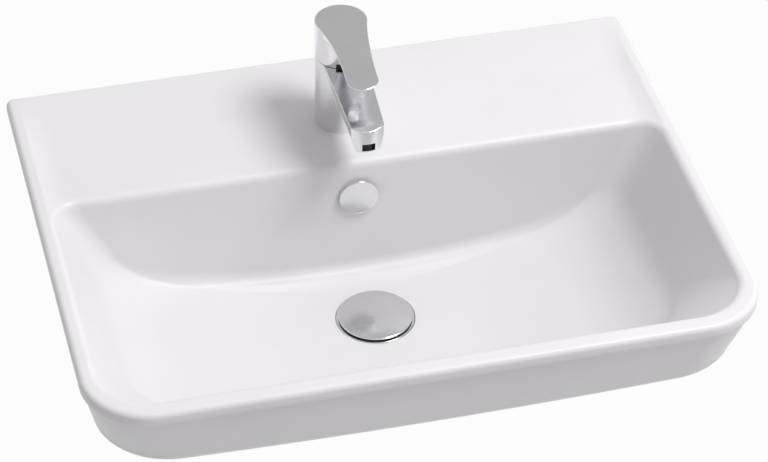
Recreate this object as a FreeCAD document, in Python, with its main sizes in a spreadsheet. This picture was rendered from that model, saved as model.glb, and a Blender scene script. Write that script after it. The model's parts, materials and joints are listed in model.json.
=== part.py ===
import FreeCAD, Part
import math
import os
from types import SimpleNamespace

import Sketcher
from FreeCAD import Placement, Rotation, Vector

# Wall-hung ceramic washbasin with a single-lever tap, a click waste and an overflow.
# Millimetres. The origin is midway between the two wall fixing holes, on the wall plane.
# +Z is up, the wall is the plane y = 0, and the front of the basin points to -Y.

DIMENSIONS = {
    # basin, outer form
    "basin_width": 600,
    "basin_depth": 465,
    "rim_thickness": 14,
    "rim_width": 14,
    "rim_round": 5,
    "front_corner": 60,
    "back_corner": 8,
    "apron_setback": 4,
    "apron_height": 48,
    "apron_side_rake": 9,
    "apron_front_rake": 12,
    "apron_bottom_round": 14,
    "apron_bow": 4.3,
    "shell_wall": 9,
    "cut_overrun": 3,
    # basin, bowl
    "deck_drop": 4,
    "deck_depth": 165,
    "deck_blend": 14,
    "deck_ramp_run": 68,
    "bowl_front_rim": 17,
    "bowl_depth": 133,
    "bowl_side_depth": 110,
    "bowl_front_depth": 117,
    "bowl_back_depth": 129,
    "bowl_front_corner": 50,
    "bowl_back_corner": 22,
    "bowl_foot_rise": 13,
    "bowl_side_rise": 42,
    "bowl_side_blend": 75,
    "bowl_front_blend": 30,
    "bowl_back_blend": 12,
    "drain_margin": 4,
    "drain_setout": 235,
    # basin, back
    "wall_panel_thickness": 12,
    "wall_panel_half_width": 232,
    "wall_panel_height": 165,
    "fixing_drop": 60,
    "fixing_spacing": 280,
    "fixing_hole_radius": 7,
    # overflow
    "overflow_drop": 42,
    "overflow_hole_radius": 13,
    "duct_half_width": 15,
    "duct_depth": 8,
    "duct_wall": 7,
    "overflow_cover_radius": 18.5,
    "overflow_cover_thickness": 2.6,
    "overflow_cover_gap": 2.4,
    "overflow_sleeve_wall": 1.6,
    "overflow_sleeve_length": 14,
    "overflow_stub_wall": 1.5,
    # waste
    "waste_hole_radius": 23,
    "waste_boss_radius": 45,
    "waste_boss_height": 35,
    "waste_flange_radius": 36.5,
    "waste_flange_thickness": 3,
    "waste_seat_clearance": 0.8,
    "waste_seal_thickness": 1.5,
    "waste_thread_radius": 20.95,
    "waste_bore_radius": 17.5,
    "waste_length": 92,
    "waste_spigot_length": 33,
    "waste_groove_width": 1.5,
    "waste_groove_depth": 1,
    "waste_slot_width": 14,
    "waste_slot_height": 12,
    "waste_slot_top": 13,
    "gasket_radius": 31,
    "gasket_thickness": 4,
    "washer_thickness": 2,
    "back_nut_radius": 31,
    "back_nut_height": 11,
    "bridge_thickness": 4,
    "bridge_width": 4,
    "bridge_drop": 36,
    "bridge_hub_radius": 7,
    "thread_clearance": 0.15,
    # plug and click mechanism
    "plug_radius": 34.5,
    "plug_edge": 1.6,
    "plug_crown": 1.8,
    "plug_seal_thickness": 1.8,
    "plug_seal_inset": 1.5,
    "plug_seal_width": 6,
    "plug_boss_radius": 6,
    "plug_boss_height": 7,
    "plug_travel": 8,
    "plug_thread_radius": 3,
    "plunger_radius": 4,
    "sleeve_radius": 6,
    "sleeve_grip": 2.2,
    "sleeve_clearance": 0.3,
    "sleeve_thread_radius": 3,
    "spring_wire": 0.9,
    "spring_height": 7,
    "lock_nut_flats": 10,
    "lock_nut_height": 4,
    # tap body and spout
    "tap_setout": 97,
    "tap_radius": 24.2,
    "tap_height": 74.3,
    "deck_hole_radius": 17.5,
    "spout_reach": 111,
    "spout_root_half_width": 20.5,
    "spout_nose_half_width": 15.3,
    "spout_nose_round": 22,
    "spout_fall": 6.5,
    "nose_fall": 4,
    "nose_length": 8,
    "spout_root_depth": 45.3,
    "spout_nose_depth": 32.3,
    "spout_under_half_width": 7,
    "aerator_setback": 13.5,
    "aerator_radius": 8.3,
    "aerator_height": 10,
    "aerator_wall": 1.5,
    "aerator_clearance": 0.2,
    "aerator_recess": 0.4,
    "aerator_seal_thickness": 1.5,
    "window_width": 12,
    "window_height": 7.4,
    "window_rise": 1.4,
    "water_way_radius": 3.2,
    "water_way_drop": 5,
    "inlet_spacing": 15,
    "inlet_forward": 6,
    "inlet_radius": 4.5,
    "inlet_length": 12,
    "port_radius": 3,
    "outlet_back": 6,
    # tap fixing
    "base_seal_thickness": 1.6,
    "base_seal_width": 2.4,
    "base_seal_inset": 1.6,
    "stud_radius": 4,
    "stud_back": 9,
    "stud_grip": 14,
    "stud_length": 66,
    "horseshoe_radius": 23,
    "horseshoe_gasket_thickness": 3,
    "horseshoe_washer_thickness": 2,
    "horseshoe_slot_half_width": 14.5,
    "fixing_nut_flats": 13,
    "fixing_nut_height": 12,
    # cartridge
    "cartridge_radius": 17.3,
    "cartridge_clearance": 0.3,
    "cartridge_depth": 31,
    "cartridge_wall": 2.2,
    "cartridge_base_height": 4.5,
    "base_ring_thickness": 1.5,
    "base_ring_wall": 1.3,
    "disc_thickness": 4,
    "disc_pocket_depth": 2,
    "disc_pocket_half_width": 8,
    "disc_pocket_front": 3.5,
    "disc_pocket_back": 5.5,
    "moving_disc_radius": 11,
    "carrier_height": 7.5,
    "tongue_half_width": 5.8,
    "tongue_height": 3,
    "tongue_front": 5,
    "tongue_back": 7,
    "arm_relief": 5.2,
    "running_gap": 0.3,
    "rotor_plate_height": 3,
    "rotor_radius": 12.5,
    "rotor_height": 8,
    "rotor_slot_front": 8.6,
    "rotor_slot_back": 8.6,
    "nut_radius": 19,
    "nut_height": 6,
    "nut_bore_radius": 14.6,
    # lever
    "pivot_rise": 1,
    "pin_radius": 2,
    "pin_clearance": 0.05,
    "stem_width": 8,
    "stem_top": 30,
    "stem_arm": 14,
    "stem_arm_radius": 2.2,
    "stem_ball_radius": 3.3,
    "dome_radius": 22,
    "dome_wall": 2,
    "dome_mouth_radius": 17,
    "lever_gap": 0.6,
    "lever_seam": 0.4,
    "lever_top": 38,
    "lever_back_rise": 13,
    "lever_reach": 96.3,
    "lever_corner_reach": 8.8,
    "lever_bend": 40,
    "lever_tip_fall": 9.8,
    "lever_tip_thickness": 4,
    "lever_root_thickness": 10,
    "lever_tip_half_width": 14.2,
    "lever_tip_round": 15.9,
    "lever_waist_half_width": 14.4,
    "lever_waist_reach": 81,
    "lever_waist_radius": 328,
    "lever_notch_half_width": 9.8,
    "lever_notch_height": 6,
    "grub_radius": 3,
    "grub_length": 8,
    "index_radius": 3.6,
    "index_length": 3,
    "index_proud": 0.4,
    "fit_gap": 0.05,
}

# Leans are run over drop: how far a wall moves inward for each millimetre of depth.
side_lean_share = 0.48
front_lean_share = 0.55
back_lean_share = 0.03
side_rise_power = 4
half_share = 0.5
lift_angle = 25.0
full_turn = 360.0
apron_level_shares = (0.0, 0.5, 1.0)
apron_rake_shares = (0.0, 0.42, 1.0)
apron_curl_shares = (0.25, 0.5, 0.75, 1.0)
foot_round_shares = (0.0, 0.17, 0.33, 0.5, 0.67, 0.83, 1.0)
floor_fall_shares = (0.25, 0.5, 0.75, 1.0)
drain_corner_share = 0.9

document = FreeCAD.newDocument("washbasin")
sheet = document.addObject("Spreadsheet::Sheet", "Sizes")
for row, (name, amount) in enumerate(DIMENSIONS.items(), start=1):
    sheet.set(f"A{row}", name)
    sheet.set(f"B{row}", str(amount))
    sheet.setAlias(f"B{row}", name)
document.recompute()


class Size:
    """A size with its value and the sheet formula that works it out."""

    def __init__(self, value, formula):
        self.value = value
        self.formula = formula

    def __add__(self, other):
        other = sized(other)
        return Size(self.value + other.value, f"({self.formula} + {other.formula})")

    def __sub__(self, other):
        other = sized(other)
        return Size(self.value - other.value, f"({self.formula} - {other.formula})")

    def __mul__(self, other):
        other = sized(other)
        return Size(self.value * other.value, f"({self.formula} * {other.formula})")

    def __truediv__(self, other):
        other = sized(other)
        return Size(self.value / other.value, f"({self.formula} / {other.formula})")

    def __radd__(self, other):
        return sized(other) + self

    def __rsub__(self, other):
        return sized(other) - self

    def __rmul__(self, other):
        return sized(other) * self

    def __neg__(self):
        return Size(-self.value, f"(0 - {self.formula})")


def sized(thing):
    if isinstance(thing, Size):
        return thing
    return Size(float(thing), f"{float(thing):.9f}")


def root_of(amount):
    """Square root of a sized square."""
    return Size(math.sqrt(amount.value), f"sqrt({amount.formula})")


s = SimpleNamespace(**{name: Size(float(sheet.get(name)), f"Sizes.{name}") for name in DIMENSIONS})

zero = sized(0)
rim_top = s.fixing_drop
deck_top = rim_top - s.deck_drop
deck_underside = rim_top - s.rim_thickness
floor_z = rim_top - s.bowl_depth
boss_underside = floor_z - s.waste_boss_height - s.shell_wall * half_share
tap_y = -s.tap_setout
drain_y = -s.drain_setout
over = s.cut_overrun


def bind(thing, name, amount):
    thing.setExpression(name, sized(amount).formula)


def place(thing, x, y, z):
    bind(thing, "Placement.Base.x", x)
    bind(thing, "Placement.Base.y", y)
    bind(thing, "Placement.Base.z", z)
    return thing


def add(kind, name):
    thing = document.addObject(kind, name)
    thing.Label = name
    return thing


def box(name, x_range, y_range, z_range):
    thing = add("Part::Box", name)
    bind(thing, "Length", x_range[1] - x_range[0])
    bind(thing, "Width", y_range[1] - y_range[0])
    bind(thing, "Height", z_range[1] - z_range[0])
    return place(thing, x_range[0], y_range[0], z_range[0])


def upright(name, radius, bottom, top, x=zero, y=zero):
    """A cylinder on a vertical axis."""
    thing = add("Part::Cylinder", name)
    bind(thing, "Radius", radius)
    bind(thing, "Height", top - bottom)
    return place(thing, x, y, bottom)


def lying(name, radius, length, start, direction):
    """A cylinder from the start point along a horizontal or sloping direction."""
    thing = add("Part::Cylinder", name)
    bind(thing, "Radius", radius)
    bind(thing, "Height", length)
    thing.Placement = Placement(Vector(), Rotation(Vector(0, 0, 1), direction))
    return place(thing, *start)


def ball(name, radius, x, y, z):
    thing = add("Part::Sphere", name)
    bind(thing, "Radius", radius)
    return place(thing, x, y, z)


def prism(name, across_flats, bottom, top, x, y):
    """A hexagon on a vertical axis."""
    thing = add("Part::Prism", name)
    thing.Polygon = 6
    bind(thing, "Circumradius", across_flats / (2 * math.cos(math.pi / 6)))
    bind(thing, "Height", top - bottom)
    return place(thing, x, y, bottom)


def fuse(name, pieces):
    thing = add("Part::MultiFuse", name)
    thing.Shapes = pieces
    return thing


def shared(name, pieces):
    thing = add("Part::MultiCommon", name)
    thing.Shapes = pieces
    return thing


def cut(name, base, tools):
    """Cut each tool from the base in turn."""
    for index, tool in enumerate(tools, start=1):
        last = index == len(tools)
        thing = add("Part::Cut", name if last else f"{name}_step_{index}")
        thing.Base = base
        thing.Tool = tool
        base = thing
    return base


def origin_plane(body, role):
    return next(f for f in body.Origin.OriginFeatures if f.Role == role)


def pin_point(sketch, edge, end, point):
    """Hold one end of an edge at its two sized coordinates."""
    for kind, axis, amount in (("DistanceX", -2, point[0]), ("DistanceY", -1, point[1])):
        if amount is zero:
            sketch.addConstraint(Sketcher.Constraint("PointOnObject", edge, end, axis))
            continue
        index = sketch.addConstraint(Sketcher.Constraint(kind, -1, 1, edge, end, amount.value))
        sketch.setExpression(f"Constraints[{index}]", amount.formula)


def arc_between(start, end, radius):
    """An arc from start to end that bulges to the right of that direction, and its end numbers."""
    chord = end - start
    middle = (start + end) * 0.5
    left = Vector(-chord.y, chord.x, 0).normalize()
    reach = math.sqrt(radius ** 2 - (chord.Length * 0.5) ** 2)
    centre = middle + left * reach
    first = math.atan2(start.y - centre.y, start.x - centre.x)
    last = math.atan2(end.y - centre.y, end.x - centre.x)
    circle = Part.Circle(centre, Vector(0, 0, 1), radius)
    return Part.ArcOfCircle(circle, first, last)


def outline_sketch(body, name, role, points):
    """A closed outline. A point is (across, up), or (across, up, radius) where an arc leaves it."""
    sketch = body.newObject("Sketcher::SketchObject", name)
    sketch.AttachmentSupport = [(origin_plane(body, role), "")]
    sketch.MapMode = "FlatFace"
    count = len(points)
    corners = [Vector(sized(p[0]).value, sized(p[1]).value, 0) for p in points]
    for index, point in enumerate(points):
        start = corners[index]
        end = corners[(index + 1) % count]
        if len(point) == 3:
            sketch.addGeometry(arc_between(start, end, point[2].value), False)
        else:
            sketch.addGeometry(Part.LineSegment(start, end), False)
    for index in range(count):
        sketch.addConstraint(Sketcher.Constraint("Coincident", index, 2, (index + 1) % count, 1))
    for index, point in enumerate(points):
        pin_point(sketch, index, 1, point)
        if len(point) == 3:
            held = sketch.addConstraint(Sketcher.Constraint("Radius", index, point[2].value))
            sketch.setExpression(f"Constraints[{held}]", point[2].formula)
    return sketch


def turned(name, points, x=zero, y=zero, z=zero):
    """A body of revolution about a vertical axis, from its half section (radius, height)."""
    body = add("PartDesign::Body", name)
    sketch = outline_sketch(body, name + "_section", "XZ_Plane", points)
    turn = body.newObject("PartDesign::Revolution", name + "_turn")
    turn.Profile = sketch
    turn.ReferenceAxis = (sketch, ["V_Axis"])
    turn.Angle = full_turn
    place(body, x, y, z)
    return body


def padded(name, role, points, length, offset=None):
    """A pad of an outline, centred on its plane unless an offset along the normal is given."""
    body = add("PartDesign::Body", name)
    sketch = outline_sketch(body, name + "_outline", role, points)
    pad = body.newObject("PartDesign::Pad", name + "_pad")
    pad.Profile = sketch
    bind(pad, "Length", length)
    if offset is None:
        pad.Midplane = True
    else:
        bind(sketch, "AttachmentOffset.Base.z", offset)
    return body


def ring(name, outer, inner, bottom, top, x=zero, y=zero):
    return turned(name, [(inner, bottom), (outer, bottom), (outer, top), (inner, top)], x, y)


def level_at(amount):
    """A height rule for a level outline."""
    return lambda x, y: amount


def rounded_outline(half_width, front, back, front_radius, back_radius, bow, height):
    """A rectangle with round corners whose front edge bows out in plan and whose height varies."""
    diagonal = math.sqrt(half_share)
    left = -half_width
    right = half_width

    def stretch(*places):
        first, middle, last = [Vector(x, y, height(x, y)) for x, y in places]
        sag = middle.distanceToLine(first, last - first)
        if sag < s.fit_gap.value:
            return Part.makeLine(first, last)
        return Part.Arc(first, middle, last).toShape()

    def straight(start, end):
        middle = ((start[0] + end[0]) / 2, (start[1] + end[1]) / 2)
        return stretch(start, middle, end)

    def corner(centre_x, centre_y, radius, first, last):
        middle = ((first[0] + last[0]) * diagonal, (first[1] + last[1]) * diagonal)
        return stretch(*[(centre_x + radius * x, centre_y + radius * y) for x, y in (first, middle, last)])

    west = (-1, 0)
    east = (1, 0)
    south = (0, -1)
    north = (0, 1)
    front_start = front + front_radius
    back_start = back - back_radius
    return Part.Wire([
        straight((left, front_start), (left, back_start)),
        corner(left + back_radius, back_start, back_radius, west, north),
        straight((left + back_radius, back), (right - back_radius, back)),
        corner(right - back_radius, back_start, back_radius, north, east),
        straight((right, back_start), (right, front_start)),
        corner(right - front_radius, front_start, front_radius, east, south),
        stretch((right - front_radius, front), (0, front - bow), (left + front_radius, front)),
        corner(left + front_radius, front_start, front_radius, south, west),
    ])


def form(name, shape):
    """A free ceramic form that is shaped from rings."""
    thing = add("Part::Feature", name)
    thing.Shape = shape
    return thing


def apron_rings(inset):
    """Level outlines of the apron from under the rim to its rounded foot."""
    rings = []
    top = deck_underside.value
    for level_share, rake_share in zip(apron_level_shares, apron_rake_shares):
        setback = s.apron_setback.value + inset
        rings.append((
            top - s.apron_height.value * level_share,
            setback + s.apron_side_rake.value * rake_share,
            setback + s.apron_front_rake.value * rake_share,
            s.apron_bow.value * rake_share,
        ))
    return rings


def ring_wire(level, side_inset, front_inset, bow, back):
    side_corner = s.front_corner.value - s.apron_setback.value + bow * 2
    return rounded_outline(
        s.basin_width.value / 2 - side_inset,
        front_inset - s.basin_depth.value,
        back,
        side_corner,
        s.back_corner.value,
        bow,
        level_at(level),
    )


def apron_form():
    """The outer skin under the rim, rounded inward at its foot and closed there."""
    rings = apron_rings(0.0)
    level, side_inset, front_inset, bow = rings[-1]
    curl = s.apron_bottom_round.value
    for share in apron_curl_shares:
        angle = math.pi / 2 * share
        inward = curl * (1 - math.cos(angle))
        drop = curl * math.sin(angle)
        rings.append((level - drop, side_inset + inward, front_inset + inward, bow))
    return Part.makeLoft([ring_wire(*each, 0.0) for each in rings], True, True)


def apron_hollow_form():
    """The space inside the apron, open downward and closed by the deck above."""
    back = -s.wall_panel_thickness.value
    rings = apron_rings(s.shell_wall.value)
    level, side_inset, front_inset, bow = rings[-1]
    foot = level - s.apron_bottom_round.value - over.value
    rings.append((foot, side_inset, front_inset, bow))
    return Part.makeLoft([ring_wire(*each, back) for each in rings], True, True)


def bowl_ring(side_depth, front_depth, back_depth, extra):
    """Plan sizes of the bowl where its walls reach these depths, grown outward by extra."""
    return [
        s.basin_width.value / 2 - s.rim_width.value - side_lean_share * side_depth + extra,
        s.bowl_front_rim.value - s.basin_depth.value + front_lean_share * front_depth - extra,
        -s.deck_depth.value - back_lean_share * back_depth + extra,
        s.bowl_front_corner.value + extra,
        s.bowl_back_corner.value + extra,
    ]


def bowl_foot_ring(side_rise, rise, extra):
    """Plan sizes of the bowl at these rises above the foot of its walls."""
    side_depth = s.bowl_side_depth.value - side_rise
    return bowl_ring(side_depth, s.bowl_front_depth.value - rise, s.bowl_back_depth.value - rise, extra)


def mixed(first, second, share):
    return [a * (1 - share) + b * share for a, b in zip(first, second)]


def dish(x, y):
    """Height of the dished floor over the drain: each wall's foot lies at its own depth."""
    half, front, back = bowl_foot_ring(0.0, 0.0, 0.0)[:3]
    away = y - drain_y.value
    if away > 0:
        end_rise = s.bowl_depth.value - s.bowl_back_depth.value
        run = back - drain_y.value
    else:
        end_rise = s.bowl_depth.value - s.bowl_front_depth.value
        run = front - drain_y.value
    side_rise = s.bowl_depth.value - s.bowl_side_depth.value
    side_share = min(1.0, (x / half) ** 2)
    return side_rise * side_share + end_rise * min(1.0, (away / run) ** 2)


def bowl_form(extra, top_depth):
    """The bowl as rings: leaning walls, a rounded foot and a dished floor that falls to the drain.

    The last three numbers of a ring are its level at the drain, its share of the dish, and how much
    higher it lies at the sides, where the foot is rounded more.
    """
    base = floor_z.value - extra
    rise = s.bowl_foot_rise.value
    side_rise = s.bowl_side_rise.value
    wall_end = bowl_foot_ring(side_rise, rise, extra) + [base + rise, 1.0, side_rise - rise]
    foot = bowl_foot_ring(0.0, 0.0, extra) + [base, 1.0, 0.0]
    floor = list(foot)
    floor[0] -= s.bowl_side_blend.value
    floor[1] += s.bowl_front_blend.value
    floor[2] -= s.bowl_back_blend.value
    reach = s.waste_flange_radius.value + s.drain_margin.value
    corner = reach * drain_corner_share
    drain = [reach, drain_y.value - reach, drain_y.value + reach, corner, corner, base, 0.0, 0.0]
    rings = [bowl_ring(top_depth, top_depth, top_depth, extra) + [rim_top.value - top_depth, 0.0, 0.0]]
    for share in foot_round_shares:
        rings.append(mixed(mixed(wall_end, foot, share), mixed(foot, floor, share), share))
    for share in floor_fall_shares:
        rings.append(mixed(floor, drain, share))
    wires = []
    for half, front, back, front_corner, back_corner, level, dish_share, side_extra in rings:
        def height(x, y, half=half, level=level, dish_share=dish_share, side_extra=side_extra):
            return level + dish_share * dish(x, y) + side_extra * (x / half) ** side_rise_power

        wires.append(rounded_outline(half, front, back, front_corner, back_corner, 0.0, height))
    return Part.makeLoft(wires, True, True)


def rim_slab():
    """The rim as a level slab with a rounded outer edge."""
    half = s.basin_width / 2
    front = -s.basin_depth
    corner = s.front_corner
    back = s.back_corner
    points = [
        (-half, -back),
        (-half, front + corner, corner),
        (corner - half, front),
        (half - corner, front, corner),
        (half, front + corner),
        (half, -back, back),
        (half - back, zero),
        (back - half, zero, back),
    ]
    body = padded("rim_slab", "XY_Plane", points, s.rim_thickness, deck_underside)
    document.recompute()
    round_edges = []
    top = rim_top.value
    bottom = deck_underside.value
    for index, edge in enumerate(body.Shape.Edges, start=1):
        bounds = edge.BoundBox
        level = bounds.ZLength < s.fit_gap.value
        outside = bounds.YMin < -s.back_corner.value - s.fit_gap.value
        if level and outside and min(abs(bounds.ZMin - top), abs(bounds.ZMin - bottom)) < s.fit_gap.value:
            round_edges.append(f"Edge{index}")
    rounding = body.newObject("PartDesign::Fillet", "rim_rounding")
    rounding.Base = (document.getObject("rim_slab_pad"), round_edges)
    bind(rounding, "Radius", s.rim_round)
    return body


def deck_ramp():
    """The deck's rise from the tap back to the rim's level at the wall."""
    run = s.deck_ramp_run
    return padded("deck_ramp", "YZ_Plane", [
        (-run, deck_top),
        (over, deck_top - over),
        (over, rim_top + s.deck_drop * over / run),
    ], s.basin_width)


def deck_recess():
    """Lowers the tap deck a little under the rim and blends it up to the rim at both sides."""
    inner = s.basin_width / 2 - s.rim_width
    flat = inner - s.deck_blend
    half_run = s.deck_blend / 2
    half_rise = s.deck_drop / 2
    bend = (half_run * half_run + half_rise * half_rise) / s.deck_drop
    top = rim_top + over
    middle = rim_top - half_rise
    body = add("PartDesign::Body", "deck_recess")
    points = [
        (-inner, top),
        (-inner, rim_top),
        (half_run - inner, middle, bend),
        (-flat, deck_top),
        (flat, deck_top, bend),
        (inner - half_run, middle),
        (inner, rim_top),
        (inner, top),
    ]
    sketch = outline_sketch(body, "deck_recess_section", "XZ_Plane", points)
    pad = body.newObject("PartDesign::Pad", "deck_recess_pad")
    pad.Profile = sketch
    bind(pad, "Length", s.deck_depth + over + over)
    bind(sketch, "AttachmentOffset.Base.z", -over)
    return cut("sloping_recess", body, [deck_ramp()])


def basin_body():
    """The ceramic: rim, apron, bowl, deck, wall panel, drain boss and overflow duct in one piece."""
    slab = rim_slab()
    apron = form("apron_skin", apron_form())
    hollow = form("apron_hollow", apron_hollow_form())
    frame = cut("basin_frame", fuse("basin_block", [slab, apron]), [hollow])
    skin = form("bowl_skin", bowl_form(s.shell_wall.value, s.rim_thickness.value - s.deck_drop.value))
    inside = form("bowl_inside", bowl_form(0.0, -over.value))

    panel_half = s.wall_panel_half_width
    panel_foot = rim_top - s.wall_panel_height
    wall = s.shell_wall
    panel_front = -s.wall_panel_thickness
    panel = box("wall_panel", (-panel_half, panel_half), (panel_front, zero), (panel_foot, deck_underside))
    face_half = s.basin_width / 2 - s.back_corner
    face = box("wall_face", (-face_half, face_half), (panel_front, zero), (deck_underside, deck_top))
    webs = []
    for side, start in (("left", -panel_half), ("right", panel_half - wall)):
        span = (start, start + wall)
        webs.append(box(f"{side}_web", span, (-s.deck_depth, zero), (panel_foot + wall, deck_underside)))

    floor = floor_z
    boss_foot = boss_underside
    boss = upright("drain_boss", s.waste_boss_radius, boss_foot, floor - wall * half_share, zero, drain_y)
    seat = upright(
        "drain_seat", s.waste_flange_radius + s.waste_seat_clearance,
        floor - s.waste_flange_thickness - s.waste_seal_thickness, floor + over, zero, drain_y,
    )
    drain = upright("drain_hole", s.waste_hole_radius, boss_foot - over, floor, zero, drain_y)

    duct_back = overflow_wall_y + wall + s.duct_depth
    duct_front = overflow_wall_y + wall
    duct_half = s.duct_half_width
    cover = s.duct_wall
    duct_top = overflow_z + s.overflow_hole_radius
    duct_foot = floor - s.waste_flange_thickness - s.waste_slot_top - s.waste_slot_height
    way_top = duct_foot + s.waste_slot_height
    casing = box(
        "duct_casing", (-duct_half - cover, duct_half + cover),
        (duct_front - wall * half_share, duct_back + cover), (duct_foot - cover, duct_top + cover),
    )
    casing_way = box(
        "duct_way_casing", (-duct_half - cover, duct_half + cover),
        (drain_y, duct_back + cover), (duct_foot - cover, floor - wall * half_share),
    )
    duct = box("duct", (-duct_half, duct_half), (duct_front, duct_back), (duct_foot, duct_top))
    duct_way = box("duct_way", (-duct_half, duct_half), (drain_y, duct_back), (duct_foot, way_top))
    overflow = lying(
        "overflow_hole", s.overflow_hole_radius, wall + s.duct_depth + over,
        (zero, overflow_wall_y - over, overflow_z), Vector(0, 1, 0),
    )
    tap_hole = upright("tap_hole", s.deck_hole_radius, deck_underside - over, deck_top + over, zero, tap_y)
    fixings = []
    for side, x in (("left", -s.fixing_spacing / 2), ("right", s.fixing_spacing / 2)):
        fixings.append(lying(
            f"{side}_fixing_hole", s.fixing_hole_radius, s.wall_panel_thickness + over + over,
            (x, panel_front - over, zero), Vector(0, 1, 0),
        ))
    solid = fuse("basin_solid", [frame, skin, panel, face, *webs, boss, casing, casing_way])
    holes = [seat, drain, duct, duct_way, overflow, tap_hole, *fixings]
    cut("basin_body", solid, [inside, deck_recess(), *holes])


overflow_z = rim_top - s.overflow_drop
overflow_wall_y = -(s.deck_depth + back_lean_share * s.overflow_drop)


def overflow_sleeve():
    """Plastic sleeve pushed into the overflow hole."""
    outer = s.overflow_hole_radius - s.running_gap
    bore = outer - s.overflow_sleeve_wall
    start = (zero, overflow_wall_y, overflow_z)
    back = Vector(0, 1, 0)
    skin = lying("sleeve_skin", outer, s.overflow_sleeve_length, start, back)
    way = lying("sleeve_way", bore, s.overflow_sleeve_length, start, back)
    cut("overflow_sleeve", skin, [way])


def overflow_cover():
    """Chromed disc that stands off the bowl wall on a ring stub held in the sleeve."""
    stub_radius = s.overflow_hole_radius - s.running_gap - s.overflow_sleeve_wall - s.running_gap
    face = overflow_wall_y - s.overflow_cover_gap - s.overflow_cover_thickness
    back = Vector(0, 1, 0)
    disc_start = (zero, face, overflow_z)
    disc = lying("cover_disc", s.overflow_cover_radius, s.overflow_cover_thickness, disc_start, back)
    stub_start = (zero, face + s.overflow_cover_thickness, overflow_z)
    stub_length = s.overflow_cover_gap + s.overflow_sleeve_length * half_share
    stub = lying("cover_stub", stub_radius, stub_length, stub_start, back)
    bore = lying("cover_bore", stub_radius - s.overflow_stub_wall, stub_length, stub_start, back)
    half = s.overflow_hole_radius
    slot = box(
        "cover_slot", (-half, half), (face + s.overflow_cover_thickness, overflow_wall_y),
        (overflow_z - half * half_share, overflow_z + half * half_share),
    )
    cut("overflow_cover", fuse("cover_solid", [disc, stub]), [bore, slot])


# heights of the waste, from the seat in the bowl floor downward
flange_top = floor_z
flange_foot = flange_top - s.waste_flange_thickness
seal_foot = flange_foot - s.waste_seal_thickness
gasket_foot = boss_underside - s.gasket_thickness
washer_foot = gasket_foot - s.washer_thickness
nut_foot = washer_foot - s.back_nut_height
waste_foot = flange_top - s.waste_length
bridge_top = flange_top - s.bridge_drop
bridge_foot = bridge_top - s.bridge_thickness


def waste_body():
    """Flanged and threaded tube with overflow slots and a bridge that carries the click."""
    thread = s.waste_thread_radius
    bore = s.waste_bore_radius
    groove_foot = waste_foot + s.waste_spigot_length
    groove_top = groove_foot + s.waste_groove_width
    groove = thread - s.waste_groove_depth
    shell = turned("waste_shell", [
        (bore, waste_foot),
        (thread, waste_foot),
        (thread, groove_foot),
        (groove, groove_foot),
        (groove, groove_top),
        (thread, groove_top),
        (thread, flange_foot),
        (s.waste_flange_radius, flange_foot),
        (s.waste_flange_radius, flange_top),
        (bore, flange_top),
    ], zero, drain_y)
    slot_top = flange_foot - s.waste_slot_top
    slots = []
    half = s.waste_slot_width / 2
    for name, x_half, y_half in (("long_slots", half, thread + over), ("cross_slots", thread + over, half)):
        slots.append(box(
            name, (-x_half, x_half), (drain_y - y_half, drain_y + y_half),
            (slot_top - s.waste_slot_height, slot_top),
        ))
    reach = (thread + bore) / 2
    half_bar = s.bridge_width / 2
    levels = (bridge_foot, bridge_top)
    bars = [
        box("bridge_bar", (-reach, reach), (drain_y - half_bar, drain_y + half_bar), levels),
        box("bridge_cross", (-half_bar, half_bar), (drain_y - reach, drain_y + reach), levels),
        upright("bridge_hub", s.bridge_hub_radius, bridge_foot, bridge_top, zero, drain_y),
    ]
    hole_radius = s.sleeve_thread_radius + s.thread_clearance
    hub_hole = upright("hub_hole", hole_radius, bridge_foot - over, bridge_top + over, zero, drain_y)
    slotted = cut("slotted_shell", shell, slots)
    cut("waste_body", fuse("waste_solid", [slotted, *bars]), [hub_hole])


def waste_stack():
    """Seals, washer and nut that clamp the waste to the basin."""
    inner = s.waste_thread_radius + s.thread_clearance
    ring("waste_upper_seal", s.waste_flange_radius, inner, seal_foot, flange_foot, zero, drain_y)
    ring("waste_lower_gasket", s.gasket_radius, inner, gasket_foot, boss_underside, zero, drain_y)
    ring("waste_washer", s.gasket_radius, inner, washer_foot, gasket_foot, zero, drain_y)
    blank = prism("back_nut_blank", s.back_nut_radius * 2, nut_foot, washer_foot, zero, drain_y)
    hole = upright("back_nut_hole", inner, nut_foot, washer_foot, zero, drain_y)
    cut("waste_back_nut", blank, [hole])


seal_top = flange_top + s.plug_seal_thickness
plunger_foot = bridge_top + s.spring_height + s.spring_wire * 2


def plug():
    """Domed plate with its seal and the plunger that the click holds."""
    edge_top = seal_top + s.plug_edge
    crown = s.plug_crown
    bend = (s.plug_radius * s.plug_radius + crown * crown) / (2 * crown)
    boss_foot = seal_top - s.plug_boss_height
    hole = s.plug_thread_radius + s.thread_clearance
    turned("plug_plate", [
        (hole, boss_foot),
        (s.plug_boss_radius, boss_foot),
        (s.plug_boss_radius, seal_top),
        (s.plug_radius, seal_top),
        (s.plug_radius, edge_top, bend),
        (zero, edge_top + crown),
        (zero, seal_top),
        (hole, seal_top),
    ], zero, drain_y)
    outer = s.plug_radius - s.plug_seal_inset
    ring("plug_seal", outer, outer - s.plug_seal_width, flange_top, seal_top, zero, drain_y)
    turned("plug_stem", [
        (zero, plunger_foot),
        (s.plunger_radius, plunger_foot),
        (s.plunger_radius, boss_foot),
        (s.plug_thread_radius, boss_foot),
        (s.plug_thread_radius, seal_top - s.thread_clearance),
        (zero, seal_top - s.thread_clearance),
    ], zero, drain_y)


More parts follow.
